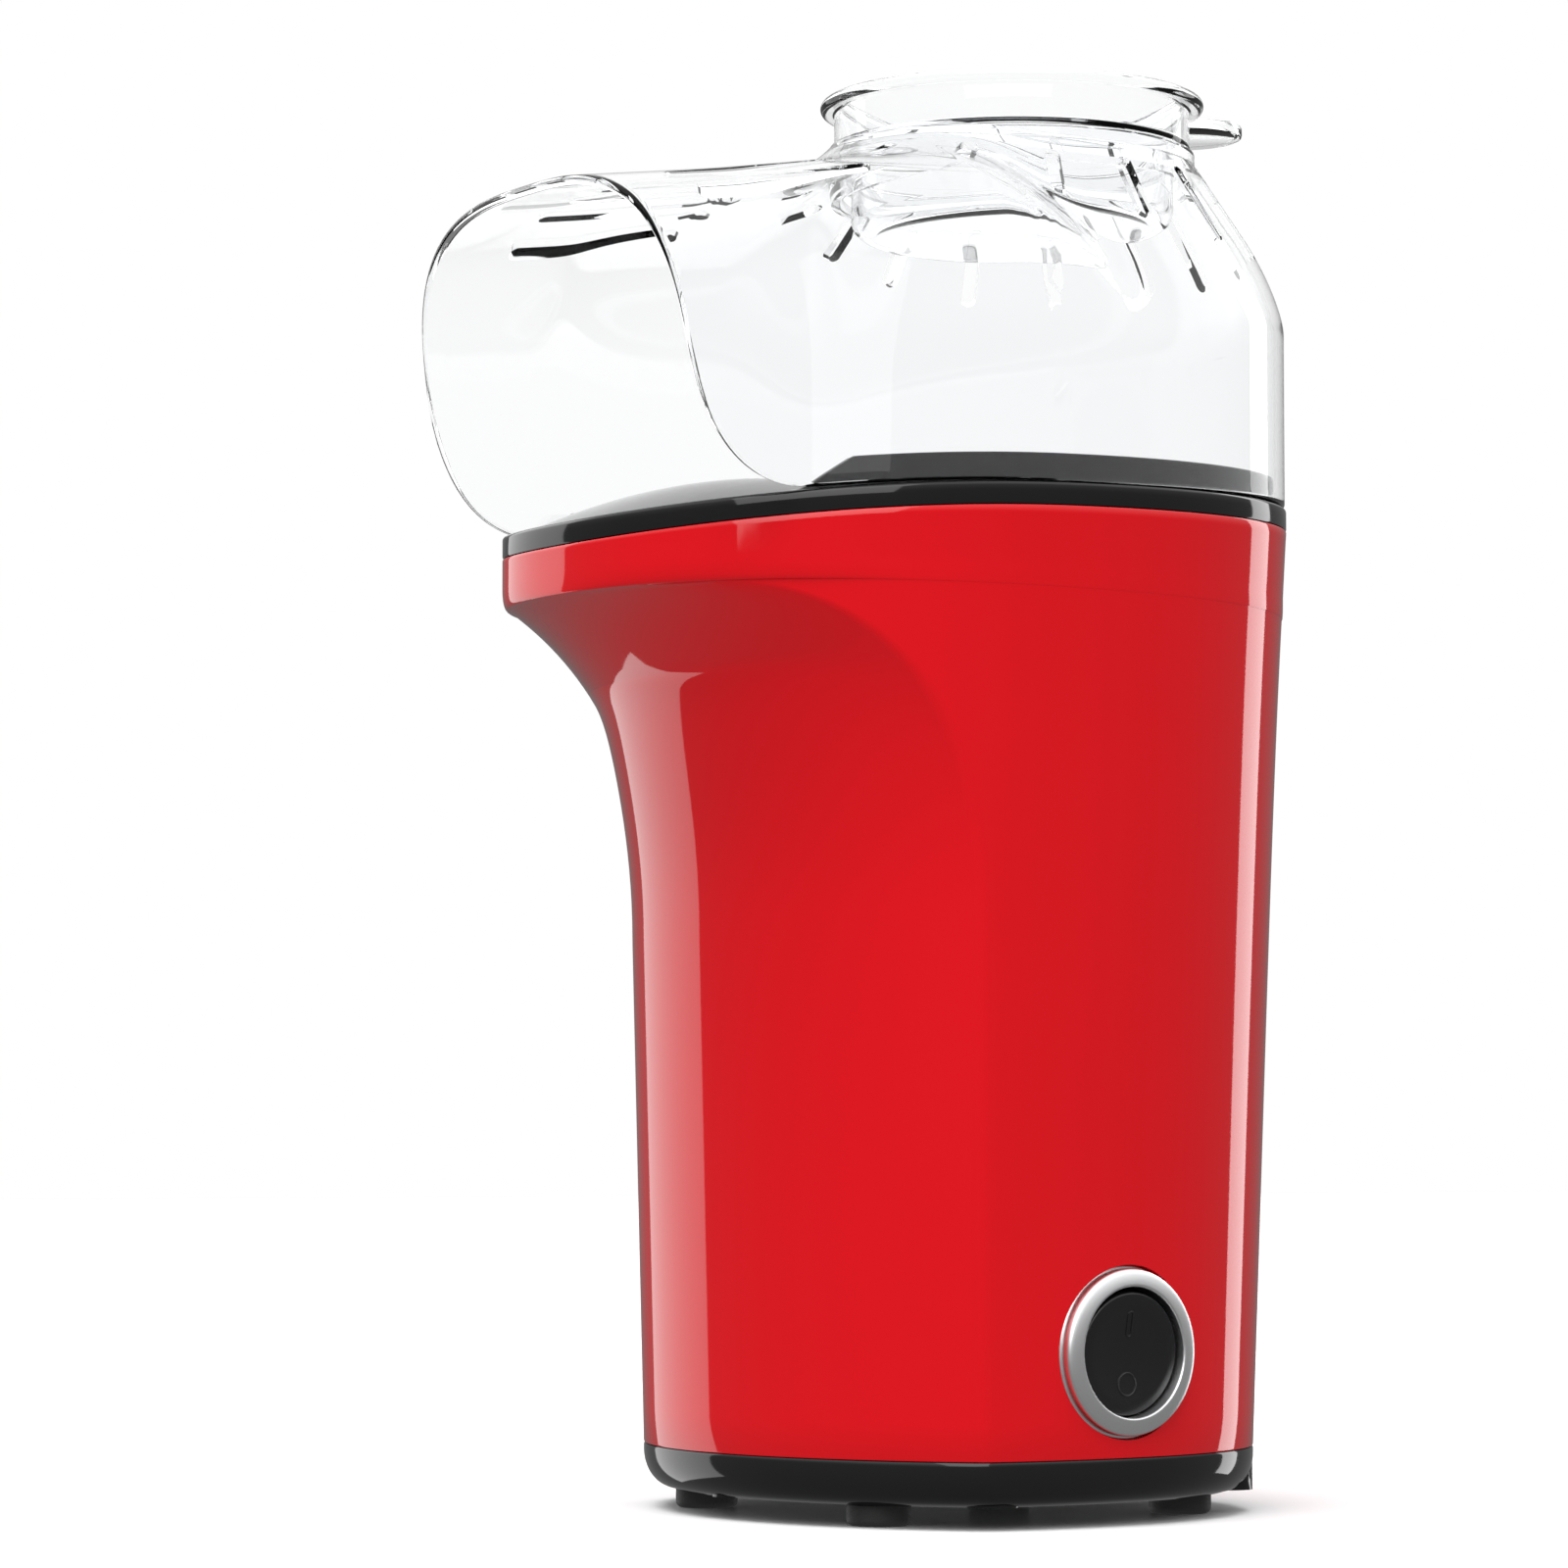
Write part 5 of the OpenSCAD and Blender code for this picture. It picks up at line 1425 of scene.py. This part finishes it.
@dataclass
class MeasuringCup:
    """The clear cup that closes the neck and measures the corn."""

    axis_y: float = 30.7
    seat: float = 286.8
    top: float = 298.1
    foot: float = 269.5
    body_r: float = 37.9
    spigot_r: float = 34.4
    flange_r: float = 40.9
    flange_h: float = 2.6
    wall: float = 1.6
    corner: float = 5.0
    tab_r: float = 13.5
    tab_reach: float = 16.6
    tab_t: float = 1.8
    tab_rim: float = 1.6
    tab_drop: float = 1.0

    def outline(self) -> Line:
        """Half section of the cup."""
        r, z, c, w = self.spigot_r, self.foot, self.corner, self.wall
        roll = self.flange_h / 2
        line = [(0.0, z), (r - c, z)] + [(r - c + c * s, z + c - c * k) for s, k in quarter(8)] + [(r, z + c)]
        line += [(r, self.seat - 0.5), (r + 0.15, self.seat - 0.15), (r + 0.5, self.seat),
                 (self.body_r - 0.6, self.seat), (self.body_r - 0.18, self.seat + 0.18),
                 (self.body_r, self.seat + 0.6)]
        under = self.top - self.flange_h
        line += [(self.body_r, under - 0.4), (self.body_r + 0.4, under), (self.flange_r - roll, under)]
        line += [(self.flange_r - roll + roll * s, under + roll - roll * k) for s, k in quarter(5)]
        line += [(self.flange_r, under + roll)]
        line += [(self.flange_r - roll + roll * k, under + roll + roll * s) for s, k in quarter(5)]
        line += [(self.flange_r - roll, self.top)]
        inner = self.body_r - w
        line += [(inner + 0.6, self.top), (inner + 0.15, self.top - 0.2), (inner, self.top - 0.7),
                 (inner, self.seat + w + 0.5), (inner - 0.15, self.seat + w + 0.15), (inner - 0.5, self.seat + w)]
        r, c, z = r - w, c - w, z + w
        line += [(r + 0.5, self.seat + w), (r + 0.15, self.seat + w - 0.15), (r, self.seat + w - 0.5), (r, z + c)]
        line += [(r - c + c * k, z + c - c * s) for s, k in quarter(8)] + [(r - c, z), (0.0, z)]
        return line

    def build(self, clear: Material) -> Object:
        """The cup with its finger tab."""
        place = Matrix.Translation((0, self.axis_y, 0))
        cup = turned("measuring_cup_clear", self.outline(), clear, 160, place)
        r, t, rim, h = self.tab_r, self.tab_t, self.tab_rim, self.flange_h
        outline = [(0, 0), (r - 0.6, 0), (r - 0.15, 0.2), (r, 0.7), (r, h - 0.6), (r - 0.2, h - 0.15), (r - 0.6, h),
                   (r - rim + 0.3, h), (r - rim, h - 0.2), (r - rim - 0.25, t), (0, t)]
        base = self.top - self.flange_h - self.tab_drop
        shift = Matrix.Translation((0, self.axis_y + self.flange_r + self.tab_reach - r, base))
        tab = turned("tab", outline, clear, 96, shift)
        room = turned("room", rod(self.body_r - self.wall / 2, 270, 310), clear, 160, place)
        combine(tab, [room])
        combine(cup, [tab], "UNION")
        return settle(cup, "measuring_cup", "clear_plastic", "measuring_cup")


# ---------------------------------------------------------------- switch and chamber


@dataclass
class RoundSwitch:
    """The chrome bezel and its black rocker with raised marks."""

    seat: RoundSwitchSeat = field(default_factory=RoundSwitchSeat)
    bezel_r: float = 17.2
    bezel_h: float = 4.0
    bore_r: float = 13.0
    rocker_r: float = 12.4
    rocker_half: float = 3.4
    dish_r: float = 60.4
    dish_depth: float = 0.8
    face_lift: float = 0.9
    pivot: float = -2.0
    rest_tilt: float = 5.0
    mark_line: float = 0.2
    trunnion_r: float = 1.2
    trunnion_seat: float = 0.8
    mark_out: float = 6.0
    off_r: float = 2.25
    on_half: float = 1.9
    on_r: float = 0.6

    def bezel(self, chrome: Material) -> Object:
        """The ring: a thin flange, a dark groove and a domed cap."""
        bore, r, h = self.bore_r, self.bezel_r, self.bezel_h
        cap = [(bore, 0.0), (bore, h - 0.5), (bore + 0.06, h - 0.24), (bore + 0.2, h - 0.07), (bore + 0.4, h),
               (bore + 0.65, h - 0.02), (bore + 1.5, h - 0.16), (bore + 2.4, h - 0.38), (bore + 3.1, h - 0.62),
               (bore + 3.4, h - 0.82), (bore + 3.58, h - 1.15), (bore + 3.65, h - 1.6), (bore + 3.65, 1.3),
               (bore + 3.65, 0.9), (r - 0.15, 0.85), (r, 0.7), (r, 0.0)]
        skirt = [(15.7, 0.0), (15.7, -7.0), (14.85, -7.0), (14.85, 0.0)]
        ring = turned("switch_ring", cap + skirt, chrome, 160, self.seat.matrix())
        return settle(ring, "machine", "switch_chrome", "switch_bezel")

    def dish(self, r: Number) -> np.ndarray:
        """Height of the rocker's dished face at a radius."""
        face = self.rocker_half + self.face_lift
        sag = self.dish_r - np.sqrt(self.dish_r ** 2 - np.asarray(r) ** 2)
        return np.minimum(face, face - self.dish_depth + sag)

    def raised_line(self, name: str, loop: np.ndarray, place: Matrix, black: Material) -> Object:
        """A thin raised line that follows a closed loop on the dished face.

        Args:
            name: The line's name.
            loop: Points of the loop in the rocker's own X and Y.
            place: Where the rocker stands.
            black: The finish.

        Returns:
            The line's object.
        """
        ahead = np.roll(loop, -1, axis=0) - np.roll(loop, 1, axis=0)
        side = np.stack([ahead[:, 1], -ahead[:, 0]], axis=1) / np.linalg.norm(ahead, axis=1)[:, None]
        rings = []
        for turn in np.linspace(0, 2 * math.pi, 8, endpoint=False):
            flat = loop + side * self.mark_line * math.cos(turn)
            lift = self.dish(np.linalg.norm(loop, axis=1)) + self.mark_line * math.sin(turn)
            rings.append(at_height(flat, lift))
        points, faces = closed_grid(rings)
        return object_from(name, set_in(points, place), faces, black)

    def rocker(self, black: Material) -> Object:
        """The rocker, resting with its lower edge pressed in."""
        place = self.seat.matrix(self.pivot) @ Matrix.Rotation(math.radians(self.rest_tilt), 4, "Y")
        r, h, e = self.rocker_r, self.rocker_half, 0.55
        face = h + self.face_lift
        line = [(0.0, -h), (r - e, -h), (r, -h + e), (r, face - e)]
        line += [(r - e + e * k, face - e + e * s) for s, k in quarter(4)] + [(r - e, face)]
        line += [(float(q), float(self.dish(q))) for q in (10.6, 9.9, 9.5, 8.5, 7.0, 5.0, 3.0, 1.5)]
        line += [(0.0, float(self.dish(0.0)))]
        disc = turned("disc", line, black, 128, place)
        half_pin = self.bore_r + self.trunnion_seat
        pin = turned("pin", rod(self.trunnion_r, -half_pin, half_pin), black, 32,
                     place @ Matrix.Rotation(math.pi / 2, 4, "X"))
        turns = np.linspace(0, 2 * math.pi, 48, endpoint=False)
        circle = np.stack([self.mark_out + self.off_r * np.cos(turns), self.off_r * np.sin(turns)], axis=1)
        half = np.linspace(-math.pi / 2, math.pi / 2, 12)
        end = np.stack([self.on_half + self.on_r * np.cos(half), self.on_r * np.sin(half)], axis=1)
        bar = np.concatenate([end, end * np.array([-1.0, -1.0])]) + np.array([-self.mark_out, 0.0])
        marks = [self.raised_line("off_mark", circle, place, black), self.raised_line("on_mark", bar, place, black)]
        combine(disc, [pin], "UNION")
        return settle(joined("rocker_disc", [disc] + marks), "rocker", "rocker_black", "rocker")


@dataclass
class PoppingChamber:
    """The spun aluminium chamber with its ring of louvres."""

    axis_y: float = 30.7
    radius: float = 38.0
    wall: float = 1.0
    foot: float = 114.8
    top: float = 206.8
    flange_r: float = 45.0
    dome_h: float = 9.0
    louvres: int = 16
    louvre_w: float = 3.0
    louvre_h: float = 16.0
    louvre_up: float = 8.0
    louvre_turn: float = 35.0

    def build(self, aluminium: Material, row: RowTree) -> Object:
        """The chamber in place of its solid."""
        r, w, low, top = self.radius, self.wall, self.foot, self.top
        line = [(0, low + self.dome_h), (r / 2, low), (r - 4, low)]
        line += [(r - 4 + 4 * s, low + 4 - 4 * c) for s, c in quarter(5)] + [(r, low + 4), (r, top - 1.2)]
        line += [(r + 1.2 - 1.2 * c, top - 1.2 + 1.2 * s) for s, c in quarter(3)]
        out = self.flange_r
        line += [(r + 1.2, top), (out - 0.2, top), (out, top + 0.2), (out, top + w - 0.2), (out - 0.2, top + w),
                 (r + 1.2, top + w)]
        line += [(r + 1.2 - 2.2 * s, top - 1.2 + 2.2 * c) for s, c in quarter(5)]
        line += [(r - w, top - 1.2), (r - w, low + 4.2)]
        line += [(r - 4.2 + 3.2 * c, low + 4.2 - 3.2 * s) for s, c in quarter(5)]
        line += [(r - 4.2, low + w), (r / 2 + 0.2, low + w), (0, low + w + self.dome_h)]
        chamber = turned("chamber_spun", line, aluminium, 144, Matrix.Translation((0, self.axis_y, 0)))
        place = Matrix.Translation((r - w / 2, self.axis_y, low + self.louvre_up + self.louvre_h / 2)) \
            @ Matrix.Rotation(math.radians(self.louvre_turn), 4, "Z") @ Matrix.Rotation(math.pi / 2, 4, "Y")
        cutter = capsule_cutter("louvre", self.louvre_h, self.louvre_w, 12.0, place, aluminium)
        row.apply(cutter, aluminium, self.louvres, turn=360 / self.louvres, axis=(0, self.axis_y))
        combine(chamber, [cutter])
        return settle(chamber, "machine", "chamber_aluminium", "popping_chamber")


# ---------------------------------------------------------------- the studio


LAMP_AIM = 140.0
"""Height that the soft boxes are turned to, in millimetres."""


@dataclass(frozen=True)
class SoftBox:
    """One soft light of the studio.

    Attributes:
        name: The light's name.
        watts: Its power.
        width: Width in metres.
        height: Height in metres.
        azimuth: Where it stands, from -Y toward +X, in degrees.
        elevation: How high it stands, in degrees.
        reach: Its distance in metres.
    """

    name: str
    watts: float
    width: float
    height: float
    azimuth: float
    elevation: float
    reach: float = 1.3

    def build(self) -> None:
        """Hangs the light, turned to the machine's middle."""
        light = bpy.data.lights.new(self.name, "AREA")
        light.shape, light.energy, light.size, light.size_y = "RECTANGLE", self.watts, self.width, self.height
        lamp = bpy.data.objects.new(self.name, light)
        a, e = math.radians(self.azimuth), math.radians(self.elevation)
        back = Vector((math.sin(a) * math.cos(e), -math.cos(a) * math.cos(e), math.sin(e)))
        lamp.location = Vector((0.0, 0.0, LAMP_AIM * MM)) + back * self.reach
        lamp.rotation_mode = "QUATERNION"
        lamp.rotation_quaternion = (-back).to_track_quat("-Z", "Y")
        lamp.visible_camera = lamp.visible_transmission = False
        bpy.context.scene.collection.objects.link(lamp)


SOFT_BOXES = (
    SoftBox("key_box", 9.0, 1.4, 1.0, 55.0, 30.0),
    SoftBox("left_box", 6.0, 0.9, 1.6, -72.0, 4.0),
    SoftBox("right_box", 3.6, 0.3, 1.4, -172.0, 8.0),
)


@dataclass
class Studio:
    """Pale floor, plain soft light and the camera."""

    floor_size: float = 14.0
    camera_at: Tuple[float, float, float] = (969.05, -616.39, 74.34)
    camera_turn: float = 58.66
    camera_pitch: float = 3.83
    lens: float = 126.327
    gloss_low: float = 0.2
    gloss_high: float = 1.2
    fill_low: float = 0.85
    fill_high: float = 0.45
    sun_strength: float = 3.6
    sun_angle: float = 0.9
    sun_toward: Tuple[float, float, float] = (-0.07, 0.2, -0.98)

    def floor(self) -> Object:
        """A large pale floor."""
        half = self.floor_size / 2 / MM
        points = np.array([(-half, -half, -0.02), (half, -half, -0.02), (half, half, -0.02), (-half, half, -0.02)])
        made = bpy.data.materials.new("studio_floor")
        made.use_nodes = True
        nodes, links = made.node_tree.nodes, made.node_tree.links
        nodes.clear()
        out, both = nodes.new("ShaderNodeOutputMaterial"), nodes.new("ShaderNodeMixShader")
        matt, sheen = nodes.new("ShaderNodeBsdfDiffuse"), nodes.new("ShaderNodeBsdfGlossy")
        matt.inputs["Color"].default_value = (0.92, 0.92, 0.925, 1.0)
        sheen.inputs["Roughness"].default_value = 0.12
        both.inputs["Fac"].default_value = 0.14
        links.new(matt.outputs[0], both.inputs[1])
        links.new(sheen.outputs[0], both.inputs[2])
        links.new(both.outputs[0], out.inputs["Surface"])
        mesh = bpy.data.meshes.new("studio_floor")
        mesh.from_pydata((points * MM).tolist(), [], [(0, 1, 2, 3)])
        mesh.materials.append(made)
        floor = bpy.data.objects.new("studio_floor", mesh)
        bpy.context.scene.collection.objects.link(floor)
        floor.visible_glossy = False
        floor.visible_diffuse = False
        return floor

    def world(self) -> None:
        """An even white backdrop, and a dim soft room that grows brighter upward round the machine."""
        world = bpy.data.worlds.new("studio")
        bpy.context.scene.world = world
        world.use_nodes = True
        nodes, links = world.node_tree.nodes, world.node_tree.links
        nodes.clear()
        out, where = nodes.new("ShaderNodeOutputWorld"), nodes.new("ShaderNodeTexCoord")
        split, path = nodes.new("ShaderNodeSeparateXYZ"), nodes.new("ShaderNodeLightPath")
        links.new(where.outputs["Generated"], split.inputs[0])

        def room(low: float, high: float, start: float, end: float) -> bpy.types.NodeSocket:
            """A white background whose brightness goes from low to high between two heights."""
            rise, white = nodes.new("ShaderNodeMapRange"), nodes.new("ShaderNodeBackground")
            white.inputs["Color"].default_value = (1.0, 1.0, 1.0, 1.0)
            rise.interpolation_type = "SMOOTHSTEP"
            for label, value in (("From Min", start), ("From Max", end), ("To Min", low), ("To Max", high)):
                rise.inputs[label].default_value = value
            links.new(split.outputs["Z"], rise.inputs["Value"])
            links.new(rise.outputs["Result"], white.inputs["Strength"])
            return white.outputs[0]

        def either(share: bpy.types.NodeSocket, first: bpy.types.NodeSocket,
                   second: bpy.types.NodeSocket) -> bpy.types.NodeSocket:
            """The first background, or the second where share is 1."""
            node = nodes.new("ShaderNodeMixShader")
            for socket, source in zip(node.inputs, (share, first, second)):
                links.new(source, socket)
            return node.outputs[0]

        lit = either(path.outputs["Is Glossy Ray"], room(self.fill_low, self.fill_high, -0.4, 0.4),
                     room(self.gloss_low, self.gloss_high, 0.1, 0.5))
        seen = RowTree.sum_of(nodes, links, "MAXIMUM", path.outputs["Is Camera Ray"],
                              path.outputs["Is Transmission Ray"])
        backdrop = nodes.new("ShaderNodeBackground")
        backdrop.inputs["Color"].default_value = (1.0, 1.0, 1.0, 1.0)
        links.new(either(seen, lit, backdrop.outputs[0]), out.inputs["Surface"])

    def sun(self) -> None:
        """A broad light from above, which keeps the whole floor pale."""
        light = bpy.data.lights.new("top_light", "SUN")
        light.energy, light.angle = self.sun_strength, self.sun_angle
        lamp = bpy.data.objects.new("top_light", light)
        lamp.rotation_mode = "QUATERNION"
        lamp.rotation_quaternion = Vector(self.sun_toward).to_track_quat("-Z", "Y")
        lamp.visible_camera = lamp.visible_transmission = lamp.visible_glossy = False
        bpy.context.scene.collection.objects.link(lamp)

    def camera(self) -> None:
        """The camera, low in front of the machine's right corner."""
        lens = bpy.data.cameras.new("camera")
        lens.lens, lens.sensor_width = self.lens, 36.0
        lens.clip_start, lens.clip_end = 0.05, 60.0
        camera = bpy.data.objects.new("camera", lens)
        turn, pitch = math.radians(self.camera_turn), math.radians(self.camera_pitch)
        ahead = Vector((-math.sin(turn) * math.cos(pitch), math.cos(turn) * math.cos(pitch), math.sin(pitch)))
        camera.location = Vector(self.camera_at) * MM
        camera.rotation_mode = "QUATERNION"
        camera.rotation_quaternion = ahead.to_track_quat("-Z", "Y")
        bpy.context.scene.collection.objects.link(camera)
        bpy.context.scene.camera = camera

    def build(self) -> None:
        """Sets up the floor, the light and the camera."""
        bpy.context.scene.view_settings.view_transform = "Standard"
        self.floor()
        self.world()
        for box in SOFT_BOXES:
            box.build()
        self.sun()
        self.camera()


# ---------------------------------------------------------------- all together


def dress_solids(nodes: Dict[str, Object], materials: Dict[str, Material]) -> None:
    """Gives each carried-over solid the finish of its slot."""
    for thing in nodes.values():
        for slot in thing.material_slots:
            base = slot.material.name.split(".")[0] if slot.material else ""
            if base in materials:
                slot.material = materials[base]


def main() -> None:
    """Builds the machine piece by piece, then the studio."""
    for spare in list(bpy.data.objects):
        if spare.name in ("Cube", "Light", "Camera"):
            bpy.data.objects.remove(spare)
    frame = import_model()
    effects, row = Effects(), RowTree()
    made = {finish.slot: finish.material(effects) for finish in FINISHES}
    dress_solids(frame["nodes"], made)
    Housing().build(made["housing_red"], made["inner_black"])
    BaseTray().build(made["rim_black"], row)
    RubberFeet().build(made["foot_rubber"])
    CordGrommet().build(made["foot_rubber"])
    Deck().build(made["rim_black"])
    PoppingChamber().build(made["chamber_aluminium"], row)
    switch = RoundSwitch()
    switch.bezel(made["switch_chrome"])
    switch.rocker(made["rocker_black"])
    ClearHood().build(made["clear_plastic"], row)
    MeasuringCup().build(made["clear_plastic"])
    Studio().build()


if __name__ == "__main__":
    main()
